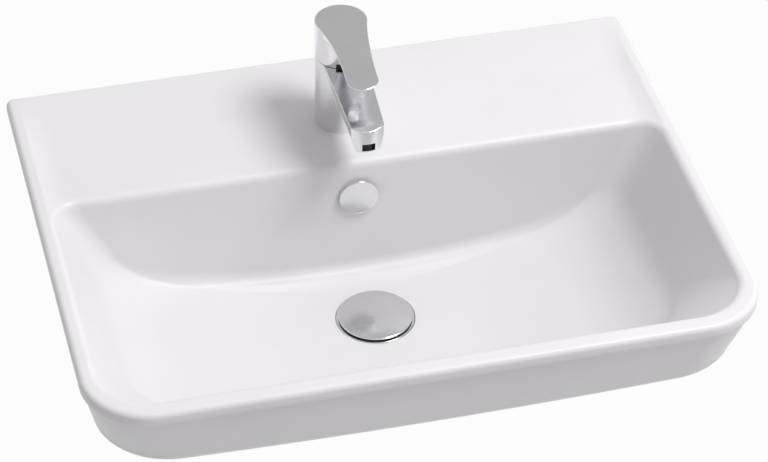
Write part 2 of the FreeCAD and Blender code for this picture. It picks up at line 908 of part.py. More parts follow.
def click_mechanism():
    """Sleeve on the bridge, its spring and the lock nut under the bridge."""
    bore = s.plunger_radius + s.sleeve_clearance
    sleeve_foot = bridge_foot - s.lock_nut_height
    sleeve_floor = bridge_top + s.spring_wire
    sleeve_top = plunger_foot + s.plug_travel + s.sleeve_grip
    thread = s.sleeve_thread_radius
    turned("click_sleeve", [
        (zero, sleeve_foot),
        (thread, sleeve_foot),
        (thread, bridge_top),
        (s.sleeve_radius, bridge_top),
        (s.sleeve_radius, sleeve_top),
        (bore, sleeve_top),
        (bore, sleeve_floor),
        (zero, sleeve_floor),
    ], zero, drain_y)
    blank = prism("lock_nut_blank", s.lock_nut_flats, sleeve_foot, bridge_foot, zero, drain_y)
    hole = upright("lock_nut_hole", thread + s.thread_clearance, sleeve_foot, bridge_foot, zero, drain_y)
    cut("click_lock_nut", blank, [hole])
    wire = s.spring_wire.value / 2
    mean = bore.value - s.sleeve_clearance.value - wire
    height = s.spring_height.value - s.spring_wire.value
    turns = 4
    helix = Part.makeHelix(height / turns, height, mean)
    start = Vector(mean, 0, 0)
    section = Part.Wire([Part.Circle(start, Vector(0, 1, 0), wire).toShape()])
    spring = form("click_spring", Part.Wire(helix).makePipeShell([section], True, True))
    place(spring, zero, drain_y, sleeve_floor + s.spring_wire)


# heights of the tap, from the deck upward
tap_top = deck_top + s.tap_height
cavity_foot = tap_top - s.cartridge_depth
water_way_z = cavity_foot - s.water_way_drop
pivot_z = tap_top + s.pivot_rise
nose_foot = tap_top - s.spout_nose_depth
cavity_radius = s.cartridge_radius + s.cartridge_clearance
aerator_y = tap_y - s.spout_reach + s.aerator_setback
aerator_bore = s.aerator_radius + s.aerator_clearance
aerator_foot = nose_foot + s.aerator_recess
aerator_top = aerator_foot + s.aerator_height
aerator_seat = aerator_top + s.aerator_seal_thickness


def inlet_places():
    return ((-s.inlet_spacing / 2, tap_y - s.inlet_forward), (s.inlet_spacing / 2, tap_y - s.inlet_forward))


def spout_form():
    """The spout: a tapering beam, wide on top and narrow below, with a rounded nose."""
    nose = tap_y - s.spout_reach
    root_top = tap_top
    shoulder = nose + s.nose_length
    profile = padded("spout_profile", "YZ_Plane", [
        (tap_y, root_top),
        (tap_y, tap_top - s.spout_root_depth),
        (tap_y - s.tap_radius, tap_top - s.spout_root_depth),
        (shoulder, nose_foot),
        (nose, nose_foot),
        (nose, root_top - s.spout_fall - s.nose_fall),
        (shoulder, root_top - s.spout_fall),
        (tap_y - s.tap_radius, root_top),
    ], s.tap_radius * 2)
    tip = s.spout_nose_half_width
    plan = padded("spout_plan", "XY_Plane", [
        (-s.spout_root_half_width, tap_y),
        (-tip, shoulder, s.spout_nose_round),
        (tip, shoulder),
        (s.spout_root_half_width, tap_y),
    ], s.spout_root_depth, tap_top - s.spout_root_depth)
    under = s.spout_under_half_width
    section = padded("spout_section", "XZ_Plane", [
        (-under, tap_top - s.spout_root_depth),
        (under, tap_top - s.spout_root_depth),
        (s.spout_root_half_width, tap_top),
        (-s.spout_root_half_width, tap_top),
    ], s.spout_reach, s.tap_setout)
    return shared("spout", [profile, plan, section])


def tap_body():
    """Brass body with its spout, cartridge cavity, water ways, inlets and stud hole."""
    column = upright("tap_column", s.tap_radius, deck_top, tap_top, zero, tap_y)
    solid = fuse("tap_solid", [column, spout_form()])
    cavity = upright("cartridge_cavity", cavity_radius, cavity_foot, tap_top + over, zero, tap_y)
    nut_seat = upright(
        "nut_seat", s.nut_radius + s.thread_clearance, tap_top - s.nut_height, tap_top + over, zero, tap_y,
    )
    tools = [cavity, nut_seat]
    for side, (x, y) in zip(("hot", "cold"), inlet_places()):
        inlet_top = deck_top + s.inlet_length
        tools.append(upright(f"{side}_inlet", s.inlet_radius, deck_top - over, inlet_top, x, y))
        tools.append(upright(f"{side}_way", s.port_radius, deck_top, cavity_foot + over, x, y))
    way = s.water_way_radius
    outlet_y = tap_y + s.outlet_back
    tools.append(upright("outlet_drop", way, water_way_z, cavity_foot + over, zero, outlet_y))
    forward = Vector(0, -1, 0)
    turn_y = tap_y - s.tap_radius + way
    tools.append(lying("outlet_run", way, outlet_y - turn_y, (zero, outlet_y, water_way_z), forward))
    rise = aerator_seat - water_way_z
    run = turn_y - aerator_y
    length = root_of(rise * rise + run * run)
    slope = Vector(0, -run.value, rise.value)
    tools.append(lying("spout_way", way, length, (zero, turn_y, water_way_z), slope))
    tools.append(upright("aerator_bore", aerator_bore, nose_foot - over, aerator_seat, zero, aerator_y))
    half = s.window_width / 2
    window_foot = nose_foot + s.window_rise
    nose = tap_y - s.spout_reach
    tools.append(box(
        "nose_window", (-half, half), (nose - over, aerator_y), (window_foot, window_foot + s.window_height),
    ))
    stud_hole = s.stud_radius + s.fit_gap
    stud_top = deck_top + s.stud_grip
    tools.append(upright("stud_hole", stud_hole, deck_top - over, stud_top, zero, tap_y + s.stud_back))
    outer = s.tap_radius - s.base_seal_inset
    groove = ring(
        "base_groove", outer, outer - s.base_seal_width,
        deck_top - over, deck_top + s.base_seal_thickness, zero, tap_y,
    )
    tools.append(groove)
    cut("tap_body", solid, tools)


def tap_fixing():
    """Base seal, horseshoe gasket and washer, stud and nut that hold the tap on the deck."""
    outer = s.tap_radius - s.base_seal_inset
    ring(
        "tap_base_seal", outer - s.fit_gap, outer - s.base_seal_width + s.fit_gap,
        deck_top, deck_top + s.base_seal_thickness, zero, tap_y,
    )
    stud_y = tap_y + s.stud_back
    stud_top = deck_top + s.stud_grip
    upright("fixing_stud", s.stud_radius, stud_top - s.stud_length, stud_top, zero, stud_y)
    gasket_z = deck_underside - s.horseshoe_gasket_thickness
    washer_z = gasket_z - s.horseshoe_washer_thickness
    for name, bottom, top in (
        ("horseshoe_gasket", gasket_z, deck_underside),
        ("horseshoe_washer", washer_z, gasket_z),
    ):
        blank = upright(f"{name}_blank", s.horseshoe_radius, bottom, top, zero, tap_y)
        half = s.horseshoe_slot_half_width
        slot = box(f"{name}_slot", (-half, half), (tap_y - s.horseshoe_radius - over, tap_y), (bottom, top))
        hole = upright(f"{name}_hole", s.stud_radius + s.thread_clearance, bottom, top, zero, stud_y)
        cut(name, blank, [slot, hole])
    nut_z = washer_z - s.fixing_nut_height
    blank = prism("fixing_nut_blank", s.fixing_nut_flats, nut_z, washer_z, zero, stud_y)
    hole = upright("fixing_nut_hole", s.stud_radius + s.fit_gap, nut_z, washer_z, zero, stud_y)
    cut("fixing_nut", blank, [hole])


def aerator():
    """Black plastic housing in the nose with its flow insert and a rubber seal."""
    outer = s.aerator_radius
    bore = outer - s.aerator_wall
    lip = s.aerator_wall
    turned("aerator_housing", [
        (bore - lip, aerator_foot),
        (outer, aerator_foot),
        (outer, aerator_top),
        (bore, aerator_top),
        (bore, aerator_foot + lip),
        (bore - lip, aerator_foot + lip),
    ], zero, aerator_y)
    insert_foot = aerator_foot + lip
    insert = upright("insert_blank", bore - s.fit_gap, insert_foot, aerator_top, zero, aerator_y)
    channel = s.aerator_wall / 2
    pitch = s.aerator_wall * 2
    ways = [upright("insert_way", channel, insert_foot, aerator_top, zero, aerator_y)]
    for index in range(6):
        angle = math.radians(60 * index)
        x = pitch * math.cos(angle)
        y = aerator_y + pitch * math.sin(angle)
        ways.append(upright(f"insert_way_{index}", channel, insert_foot, aerator_top, x, y))
    cut("aerator_insert", insert, ways)
    ring("aerator_seal", outer - s.fit_gap, bore, aerator_top, aerator_seat, zero, aerator_y)


# heights inside the cartridge
base_top = cavity_foot + s.cartridge_base_height
fixed_top = base_top + s.disc_thickness
moving_top = fixed_top + s.disc_thickness
carrier_top = moving_top + s.carrier_height
plate_foot = carrier_top + s.running_gap
plate_top = plate_foot + s.rotor_plate_height
neck_foot = plate_top + s.running_gap
inner_radius = s.cartridge_radius - s.cartridge_wall
ball_z = pivot_z - s.stem_arm
lift_travel_share = math.sin(math.radians(lift_angle))
disc_y = tap_y + s.stem_arm * (lift_travel_share / 2)
housing_top = tap_top - s.nut_height


def port_places():
    return (*inlet_places(), (zero, tap_y + s.outlet_back))


def cartridge_fixed_parts():
    """Housing, ported base with its rings, fixed ceramic disc, clamp nut and dome cover."""
    outer = s.cartridge_radius
    neck = s.rotor_radius + s.running_gap
    shoulder = s.nut_bore_radius - s.running_gap
    turned("cartridge_housing", [
        (inner_radius, cavity_foot),
        (outer, cavity_foot),
        (outer, housing_top),
        (shoulder, housing_top),
        (shoulder, tap_top - s.running_gap),
        (neck, tap_top - s.running_gap),
        (neck, neck_foot),
        (inner_radius, neck_foot),
    ], zero, tap_y)
    fit = inner_radius - s.fit_gap
    ring_foot = cavity_foot
    ring_top = cavity_foot + s.base_ring_thickness
    for name, bottom, top, grooved in (
        ("cartridge_base", cavity_foot, base_top, True),
        ("fixed_disc", base_top, fixed_top, False),
    ):
        blank = upright(f"{name}_blank", fit, bottom, top, zero, tap_y)
        tools = []
        for index, (x, y) in enumerate(port_places(), start=1):
            tools.append(upright(f"{name}_port_{index}", s.port_radius, bottom, top, x, y))
            if grooved:
                seat = s.port_radius + s.base_ring_wall
                tools.append(upright(f"{name}_seat_{index}", seat, ring_foot, ring_top, x, y))
        cut(name, blank, tools)
    rings = []
    for index, (x, y) in enumerate(port_places(), start=1):
        outer_ring = s.port_radius + s.base_ring_wall - s.fit_gap
        rings.append(ring(f"base_ring_{index}", outer_ring, s.port_radius, ring_foot, ring_top, x, y))
    fuse("cartridge_base_rings", rings)
    ring("cartridge_nut", s.nut_radius, s.nut_bore_radius, housing_top, tap_top - s.fit_gap, zero, tap_y)
    outer_ball = ball("dome_outer", s.dome_radius, zero, tap_y, pivot_z)
    inner_ball = ball("dome_inner", s.dome_radius - s.dome_wall, zero, tap_y, pivot_z)
    reach = s.dome_radius + over
    mouth = root_of(s.dome_radius * s.dome_radius - s.dome_mouth_radius * s.dome_mouth_radius)
    zone = upright("dome_zone", reach, tap_top, pivot_z + mouth, zero, tap_y)
    cut("dome_cover", shared("dome_shell", [outer_ball, zone]), [inner_ball])


def cartridge_moving_parts():
    """Rotor, pin, ceramic disc and the carrier that slides it."""
    blank = fuse("rotor_blank", [
        upright("rotor_plate", inner_radius - s.running_gap, plate_foot, plate_top, zero, tap_y),
        upright("rotor_drum", s.rotor_radius, plate_top, pivot_z + s.rotor_height, zero, tap_y),
    ])
    half = s.stem_width / 2 + s.running_gap
    front = tap_y - s.rotor_slot_front
    back = tap_y + s.rotor_slot_back
    slot = box("rotor_slot", (-half, half), (front, back), (plate_foot, pivot_z + s.rotor_height))
    wide = s.tongue_half_width + s.running_gap
    travel = s.stem_arm * lift_travel_share
    guide = box(
        "rotor_guide", (-wide, wide),
        (tap_y - s.tongue_front - travel - s.running_gap, tap_y + s.tongue_back + s.running_gap),
        (plate_foot, plate_top),
    )
    pin_half = s.rotor_radius - s.running_gap
    pin_start = (-pin_half, tap_y, pivot_z)
    along = Vector(1, 0, 0)
    pin_hole = lying(
        "rotor_pin_hole", s.pin_radius + s.pin_clearance, s.rotor_radius * 2,
        (-s.rotor_radius, tap_y, pivot_z), along,
    )
    cut("cartridge_rotor", blank, [slot, guide, pin_hole])
    lying("stem_pin", s.pin_radius, pin_half * 2, pin_start, along)

    disc = upright("moving_disc_blank", s.moving_disc_radius, fixed_top, moving_top, zero, disc_y)
    pocket_half = s.disc_pocket_half_width
    pocket_levels = (fixed_top, fixed_top + s.disc_pocket_depth)
    pocket = box(
        "disc_pocket", (-pocket_half, pocket_half),
        (disc_y - s.disc_pocket_front, disc_y + s.disc_pocket_back), pocket_levels,
    )
    cut("moving_disc", disc, [pocket])
    carrier = upright("carrier_blank", s.moving_disc_radius, moving_top, carrier_top, zero, disc_y)
    tongue_top = carrier_top + s.tongue_height
    tongue = box(
        "carrier_tongue", (-s.tongue_half_width, s.tongue_half_width),
        (tap_y - s.tongue_front, tap_y + s.tongue_back), (carrier_top, tongue_top),
    )
    socket_radius = s.stem_ball_radius + s.running_gap
    socket = upright("carrier_socket", socket_radius, ball_z - socket_radius, tongue_top, zero, tap_y)
    arm_half = s.stem_arm_radius + s.running_gap
    relief_span = (tap_y, tap_y + s.arm_relief)
    relief = box("arm_relief", (-arm_half, arm_half), relief_span, (carrier_top, tongue_top))
    cut("disc_carrier", fuse("carrier_solid", [carrier, tongue]), [socket, relief])


def lever_stem():
    """Square brass stem on its pin, with a ball end that moves the disc carrier."""
    half = s.stem_width / 2
    square = box(
        "stem_square", (-half, half), (tap_y - half, tap_y + half), (pivot_z - half, pivot_z + s.stem_top),
    )
    arm = upright("stem_arm", s.stem_arm_radius, ball_z, pivot_z, zero, tap_y)
    end = ball("stem_ball", s.stem_ball_radius, zero, tap_y, ball_z)
    hole = lying(
        "stem_pin_hole", s.pin_radius + s.pin_clearance, s.stem_width + over + over,
        (-half - over, tap_y, pivot_z), Vector(1, 0, 0),
    )
    cut("lever_stem", fuse("stem_solid", [square, arm, end]), [hole])


def lever_handle():
    """One casting: a round hub over the dome and a flat paddle that reaches over the spout."""
    foot = tap_top + s.lever_seam
    top = tap_top + s.lever_top
    tip_y = tap_y - s.lever_reach
    radius = s.tap_radius
    hub = upright("lever_hub", radius, foot, top, zero, tap_y)
    tip = s.lever_tip_half_width
    corner_y = tip_y + s.lever_corner_reach
    blank = padded("lever_plan", "XY_Plane", [
        (-radius, tap_y),
        (-tip, corner_y, s.lever_tip_round),
        (tip, corner_y),
        (radius, tap_y),
    ], s.lever_top - s.lever_seam, foot)
    waist = s.lever_waist_radius
    waist_x = s.lever_waist_half_width + waist
    waist_y = tap_y - s.lever_waist_reach
    waists = [
        upright("left_waist", waist, foot, top, -waist_x, waist_y),
        upright("right_waist", waist, foot, top, waist_x, waist_y),
    ]
    solid = fuse("lever_solid", [hub, cut("lever_paddle", blank, waists)])
    behind = tap_y + radius
    bend_y = tap_y - s.lever_bend
    tip_top = top - s.lever_tip_fall
    side = padded("lever_side", "YZ_Plane", [
        (tip_y, tip_top - s.lever_tip_thickness),
        (tip_y, tip_top),
        (bend_y, top),
        (behind, top),
        (behind, foot + s.lever_back_rise),
        (tap_y, foot),
        (tap_y - radius, foot),
        (tap_y - radius, top - s.lever_root_thickness),
    ], radius * 2 + over)
    shaped = shared("lever_shaped", [solid, side])
    hollow = ball("lever_hollow", s.dome_radius + s.lever_gap, zero, tap_y, pivot_z)
    half = s.stem_width / 2 + s.fit_gap
    socket = box(
        "lever_socket", (-half, half), (tap_y - half, tap_y + half),
        (pivot_z, pivot_z + s.stem_top + s.fit_gap),
    )
    notch_half = s.lever_notch_half_width
    notch = box(
        "lever_notch", (-notch_half, notch_half), (tap_y - radius - over, tap_y),
        (foot, foot + s.lever_notch_height),
    )
    backward = Vector(0, 1, 0)
    grub = lying("grub_hole", s.grub_radius + s.fit_gap, radius, (zero, tap_y, grub_z), backward)
    index_depth = s.index_length - s.index_proud
    index_seat = lying(
        "index_seat", s.index_radius + s.fit_gap, index_depth + over,
        (zero, behind - index_depth, grub_z), backward,
    )
    cut("lever_handle", shaped, [hollow, notch, socket, grub, index_seat])


grub_z = tap_top + s.lever_top - s.lever_tip_fall - s.index_radius * half_share


def lever_small_parts():
    """Grub screw that grips the stem and the coloured index plug over it."""
    backward = Vector(0, 1, 0)
    start = (zero, tap_y + s.stem_width / 2, grub_z)
    blank = lying("grub_blank", s.grub_radius, s.grub_length, start, backward)
    key_start = (zero, tap_y + s.stem_width / 2 + s.grub_length * half_share, grub_z)
    key = lying("grub_key", s.grub_radius * half_share, s.grub_length, key_start, backward)
    cut("lever_grub_screw", blank, [key])
    index_start = tap_y + s.tap_radius - s.index_length + s.index_proud
    lying("index_plug", s.index_radius, s.index_length, (zero, index_start, grub_z), backward)


basin_body()
overflow_sleeve()
overflow_cover()
waste_body()
waste_stack()
plug()
click_mechanism()
tap_body()
tap_fixing()
aerator()
cartridge_fixed_parts()
cartridge_moving_parts()
lever_stem()
lever_handle()
lever_small_parts()
document.recompute()

NODES = (
    "basin_body",
    "overflow_sleeve",
    "overflow_cover",
    "waste_body",
    "waste_upper_seal",
    "waste_lower_gasket",
    "waste_washer",
    "waste_back_nut",
    "plug_plate",
    "plug_seal",
    "plug_stem",
    "click_sleeve",
    "click_spring",
    "click_lock_nut",
    "tap_body",
    "tap_base_seal",
    "horseshoe_gasket",
    "horseshoe_washer",
    "fixing_stud",
    "fixing_nut",
    "aerator_housing",
    "aerator_insert",
    "aerator_seal",
    "cartridge_base",
    "cartridge_base_rings",
    "fixed_disc",
    "cartridge_housing",
    "cartridge_nut",
    "dome_cover",
    "moving_disc",
    "disc_carrier",
    "cartridge_rotor",
    "stem_pin",
    "lever_stem",
    "lever_handle",
    "lever_grub_screw",
    "index_plug",
)

for thing in document.Objects:
    if "Invalid" in thing.State or "Error" in thing.State:
        raise RuntimeError(f"{thing.Label} failed: {thing.State}")
for name in NODES:
    shape = document.getObjectsByLabel(name)[0].Shape
    if shape.isNull() or not shape.isValid():
        raise RuntimeError(f"{name} has no valid shape")

os.makedirs("parts", exist_ok=True)
for name in NODES:
    shape = document.getObjectsByLabel(name)[0].Shape
    shape.exportStep(f"parts/{name}.step")
    bounds = shape.BoundBox
    print(f"{name}: {len(shape.Solids)} solids, {shape.Volume / 1000:.2f} cm3, "
          f"z {bounds.ZMin:.1f} to {bounds.ZMax:.1f}")
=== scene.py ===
import json
import math

import bmesh
import bpy
from mathutils import Matrix, Vector


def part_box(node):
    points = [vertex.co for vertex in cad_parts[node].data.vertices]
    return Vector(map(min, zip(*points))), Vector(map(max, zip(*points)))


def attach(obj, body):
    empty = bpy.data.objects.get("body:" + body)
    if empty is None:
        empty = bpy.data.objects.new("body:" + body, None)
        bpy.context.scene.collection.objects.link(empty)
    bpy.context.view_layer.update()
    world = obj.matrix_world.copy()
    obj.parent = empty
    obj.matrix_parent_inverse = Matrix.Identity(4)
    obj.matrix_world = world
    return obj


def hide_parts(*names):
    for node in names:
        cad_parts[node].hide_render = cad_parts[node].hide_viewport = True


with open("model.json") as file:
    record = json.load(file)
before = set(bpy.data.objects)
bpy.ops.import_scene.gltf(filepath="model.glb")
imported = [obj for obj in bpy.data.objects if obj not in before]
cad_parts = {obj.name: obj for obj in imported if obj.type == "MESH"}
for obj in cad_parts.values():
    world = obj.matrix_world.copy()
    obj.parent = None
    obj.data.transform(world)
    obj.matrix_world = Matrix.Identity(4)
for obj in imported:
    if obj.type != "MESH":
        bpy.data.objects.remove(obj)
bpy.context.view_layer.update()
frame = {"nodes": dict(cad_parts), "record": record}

mm = 0.001


def hex_colour(code):
    """Linear colour of an sRGB hex value."""
    channels = []
    for start in (0, 2, 4):
        value = int(code[start:start + 2], 16) / 255
        channels.append(value / 12.92 if value <= 0.04045 else ((value + 0.055) / 1.055) ** 2.4)
    return (*channels, 1.0)


# Basin sizes
basin_low, basin_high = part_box("basin_body")
half_width = basin_high.x
depth = -basin_low.y
rim_top = 60 * mm
deck_top = 56 * mm
deck_underside = 46 * mm
rim_round = 5 * mm
ledge_outer = 289 * mm
ledge_inner = 268 * mm
ramp_run = 68 * mm
front_corner = 60 * mm
back_corner = 8 * mm
opening_half = 286 * mm
opening_front = -448 * mm
opening_back = -165 * mm
opening_front_corner = 50 * mm
opening_back_corner = 27 * mm
deck_edge_round = 9 * mm
lip_round = 5 * mm
side_lean = 0.48
front_lean = 0.55
back_lean = 0.03
bowl_depth = 133 * mm
side_foot_depth = 110 * mm
front_foot_depth = 117 * mm
back_foot_depth = 125.5 * mm
foot_rise = 10 * mm
side_rise = 42 * mm
side_rise_power = 4
side_blend = 75 * mm
front_blend = 30 * mm
back_blend = 9 * mm
shell = 9 * mm
shell_thinning = 3 * mm
drain_y = -235 * mm
floor_z = rim_top - bowl_depth
drain_reach = 40.5 * mm
drain_corner_share = 0.92
boss_radius = 45 * mm
boss_foot = basin_low.z
hole_radius = 23 * mm
seat_radius = 36.8 * mm
seat_depth = 4.5 * mm
seat_edge = 1.0 * mm
apron_setback = 4 * mm
apron_height = 48 * mm
apron_side_rake = 9 * mm
apron_front_rake = 12 * mm
apron_curl = 14 * mm
apron_bow = 4.3 * mm
apron_rake_power = 1.2
ledge_power = 1.8
tap_hole_radius = 17.5 * mm
panel_thickness = 12 * mm
panel_half = 232 * mm
panel_foot = -105 * mm
fixing_half = 140 * mm
fixing_radius = 7 * mm
overflow_z = 18 * mm
overflow_radius = 13 * mm
waste_nut_bore = 21.1 * mm

# Steps along half a ring of the basin, from the middle of the back to the middle of the front
back_steps = 24
corner_steps = 20
side_steps = 28
front_corner_steps = 20
front_steps = 24
ring_count = 2 * (back_steps + corner_steps + side_steps + front_corner_steps + front_steps)

# Rings down the rounding at the bowl's foot, and over its floor to the drain
foot_steps = 14
floor_steps = 12

# Tap sizes
tap_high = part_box("tap_body")[1]
lever_low, lever_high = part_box("lever_handle")
tap_y = -97 * mm
tap_radius = tap_high.x
tap_top = tap_high.z
spout_half = 20.5 * mm
nose_half = 15.3 * mm
nose_round = 22 * mm
shoulder_y = -200 * mm
spout_fall = 6.5 * mm
nose_start = -192 * mm
nose_fall = 3.6 * mm
nose_run = 16 * mm
under_half = 7 * mm
root_depth = 45.3 * mm
nose_foot = 98 * mm
aerator_y = -194.5 * mm
aerator_bore = 8.5 * mm
aerator_depth = 11.9 * mm
window_half = 6 * mm
groove_inner = 20.2 * mm
groove_outer = 22.6 * mm
cartridge_bore = 17.6 * mm
cartridge_depth = 31 * mm
ring_nut_bore = 19.15 * mm
ring_nut_depth = 6 * mm
stud_bore = 4.05 * mm
stud_depth = 14 * mm
stud_y = tap_y + 9 * mm
inlet_half = 7.5 * mm
inlet_bore = 4.5 * mm
inlet_depth = 12 * mm
inlet_y = tap_y - 6 * mm
passage_bore = 3 * mm
pivot_z = 131.3 * mm
lever_foot = lever_low.z
lever_top = lever_high.z
lever_tip_y = lever_low.y
lever_bend_y = -137 * mm
lever_slope = 9.8 / 56.3
corner_y = lever_tip_y + 8.8 * mm
tip_half = 14.4 * mm
tip_round = 15.9 * mm
waist_y = -178 * mm
waist_radius = 328 * mm
hollow_radius = 22.6 * mm
lever_back_rise = 13 * mm
notch_half = 9.8 * mm
notch_rise = 4.5 * mm
grub_z = 156.7 * mm
grub_bore = 3.05 * mm
cap_bore = 3.65 * mm
cap_depth = 2.6 * mm


def between(start, end, steps):
    """Points from start towards end, without the end."""
    first, last = Vector(start), Vector(end)
    return [tuple(first.lerp(last, i / steps)) for i in range(steps)]


def around(centre, radius, first, last, steps):
    """Points on an arc given in degrees, without its end."""
    points = []
    for i in range(steps):
        angle = math.radians(first + (last - first) * i / steps)
        points.append((centre[0] + radius * math.cos(angle), centre[1] + radius * math.sin(angle)))
    return points


def smooth(value, low, high):
    share = min(1.0, max(0.0, (value - low) / (high - low)))
    return share * share * (3 - 2 * share)


def mixed(first, second, share):
    return [a * (1 - share) + b * share for a, b in zip(first, second)]


def curved(first, middle, last, share):
    """A point of the curve that leaves first and reaches last along their lines to middle."""
    return mixed(mixed(first, middle, share), mixed(middle, last, share), share)


def mirrored(half_points):
    """A closed ring from its right half, whose first and last points lie on the middle plane."""
    return half_points + [(-x, y) for x, y in half_points[-2:0:-1]]


def softened(corners, steps=5):
    """A closed outline whose corners (across, up, radius) are rounded."""
    points = []
    for index, (x, y, radius) in enumerate(corners):
        here = Vector((x, y))
        before = (Vector(corners[index - 1][:2]) - here).normalized()
        after = (Vector(corners[(index + 1) % len(corners)][:2]) - here).normalized()
        if radius == 0:
            points.append((x, y))
            continue
        half_angle = before.angle(after) / 2
        reach = radius / math.tan(half_angle)
        for step in range(steps + 1):
            share = step / steps
            points.append(tuple(curved(here + before * reach, here, here + after * reach, share)))
    return points


class Skin:
    """A skin that grows ring by ring, each ring extruded from the last one."""

    def __init__(self, segments):
        self.mesh = bmesh.new()
        made = bmesh.ops.create_circle(self.mesh, cap_ends=False, segments=segments, radius=mm)
        self.first = made["verts"]
        self.last = self.first
        self.edges = list(self.mesh.edges)
        self.started = False

    def grow(self):
        grown = bmesh.ops.extrude_edge_only(self.mesh, edges=self.edges)["geom"]
        fresh = {item for item in grown if isinstance(item, bmesh.types.BMVert)}
        self.edges = [
            item for item in grown if isinstance(item, bmesh.types.BMEdge) and fresh.issuperset(item.verts)
        ]
        self.last = [
            next(edge.other_vert(vertex) for edge in vertex.link_edges if edge.other_vert(vertex) in fresh)
            for vertex in self.last
        ]

    def ring(self, places):
        if self.started:
            self.grow()
        self.started = True
        for vertex, place in zip(self.last, places):
            vertex.co = place

    def level_ring(self, points, z):
        self.ring([(x, y, z) for x, y in points])

    def close(self):
        """Joins the last ring to the first."""
        self.grow()
        bmesh.ops.weld_verts(self.mesh, targetmap=dict(zip(self.last, self.first)))
        bmesh.ops.recalc_face_normals(self.mesh, faces=self.mesh.faces)
        return self.mesh

    def fill_across(self, ring):
        """Fills a ring that is mirrored left to right with strips from side to side."""
        count = len(ring)
        for index in range(count // 2):
            corners = (ring[index], ring[index + 1], ring[count - index - 1], ring[-index])
            bmesh.ops.contextual_create(self.mesh, geom=list(dict.fromkeys(corners)))

    def cap(self, across=False):
        """Fills the first and the last ring."""
        if across:
            self.fill_across(self.first)
        else:
            bmesh.ops.contextual_create(self.mesh, geom=self.first)
        bmesh.ops.contextual_create(self.mesh, geom=self.last)
        bmesh.ops.recalc_face_normals(self.mesh, faces=self.mesh.faces)
        return self.mesh


def lathe(profile, x=0.0, y=0.0, segments=96):
    """Turns a closed outline of (radius, height) about a vertical axis."""
    mesh = bmesh.new()
    vertices = [mesh.verts.new((radius, 0, z)) for radius, z in profile]
    edges = [mesh.edges.new((vertices[i - 1], vertices[i])) for i in range(len(vertices))]
    bmesh.ops.spin(
        mesh, geom=vertices + edges, cent=(0, 0, 0), axis=(0, 0, 1), angle=math.tau, steps=segments,
        use_merge=True,
    )
    bmesh.ops.remove_doubles(mesh, verts=mesh.verts, dist=0.001 * mm)
    bmesh.ops.dissolve_degenerate(mesh, dist=0.0001 * mm, edges=mesh.edges)
    bmesh.ops.recalc_face_normals(mesh, faces=mesh.faces)
    bmesh.ops.translate(mesh, verts=mesh.verts, vec=(x, y, 0))
    return mesh


def laid_back(mesh, y, z):
    """Turns a lathed mesh so that its axis points towards the wall from the given place."""
    bmesh.ops.rotate(mesh, verts=mesh.verts, cent=(0, 0, 0), matrix=Matrix.Rotation(-math.pi / 2, 3, "X"))
    bmesh.ops.translate(mesh, verts=mesh.verts, vec=(0, y, z))
    return mesh


def block(low, high, soft=0.0):
    """A box between two corners, with rounded edges."""
    mesh = bmesh.new()
    size = Vector(high) - Vector(low)
    bmesh.ops.create_cube(mesh, size=1)
    bmesh.ops.scale(mesh, verts=mesh.verts, vec=size)
    bmesh.ops.translate(mesh, verts=mesh.verts, vec=(Vector(low) + Vector(high)) / 2)
    if soft:
        bmesh.ops.bevel(
            mesh, geom=mesh.edges, offset=soft, affect="EDGES", segments=3, profile=0.5, material=-1,
        )
    return mesh


def rod(radius, low, high, x=0.0, y=0.0, segments=96):
    """A plain upright cylinder, used as a cutting form."""
    mesh = bmesh.new()
    bmesh.ops.create_cone(
        mesh, cap_ends=True, segments=segments, radius1=radius, radius2=radius, depth=high - low,
        matrix=Matrix.Translation((x, y, (low + high) / 2)),
    )
    return mesh


def lying_rod(radius, front, back, x, z):
    mesh = rod(radius, front, back)
    bmesh.ops.rotate(mesh, verts=mesh.verts, cent=(0, 0, 0), matrix=Matrix.Rotation(-math.pi / 2, 3, "X"))
    bmesh.ops.translate(mesh, verts=mesh.verts, vec=(x, 0, z))
    return mesh


def combined(base, others, operation):
    """Joins, cuts or intersects closed meshes one after another."""
    collection = bpy.context.scene.collection
    things = []
    for index, mesh in enumerate([base, *others]):
        data = bpy.data.meshes.new(f"work_{index}")
        mesh.to_mesh(data)
        mesh.free()
        thing = bpy.data.objects.new(f"work_{index}", data)
        collection.objects.link(thing)
        things.append(thing)
    for other in things[1:]:
        step = things[0].modifiers.new("step", "BOOLEAN")
        step.operation = operation
        step.solver = "EXACT"
        step.object = other
    bpy.context.view_layer.update()
    evaluated = things[0].evaluated_get(bpy.context.evaluated_depsgraph_get())
    result = bmesh.new()
    result.from_mesh(evaluated.to_mesh())
    evaluated.to_mesh_clear()
    for thing in things:
        bpy.data.meshes.remove(thing.data)
    return result


def gathered(meshes):
    """Puts several closed meshes into one."""
    whole = bmesh.new()
    for mesh in meshes:
        data = bpy.data.meshes.new("part")
        mesh.to_mesh(data)
        mesh.free()
        whole.from_mesh(data)
        bpy.data.meshes.remove(data)
    return whole


def piece(name, mesh, material, body, replaces=(), angle=32):
    """Turns a mesh into a named piece of the object."""
    data = bpy.data.meshes.new(name)
    mesh.to_mesh(data)
    mesh.free()
    for polygon in data.polygons:
        polygon.use_smooth = True
    data.set_sharp_from_angle(angle=math.radians(angle))
    made = bpy.data.objects.new(name, data)
    bpy.context.scene.collection.objects.link(made)
    data.materials.append(material)
    flats = made.modifiers.new("even_flats", "WEIGHTED_NORMAL")
    flats.keep_sharp = True
    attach(made, body)
    if replaces:
        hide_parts(*replaces)
    return made


# Ceramic basin

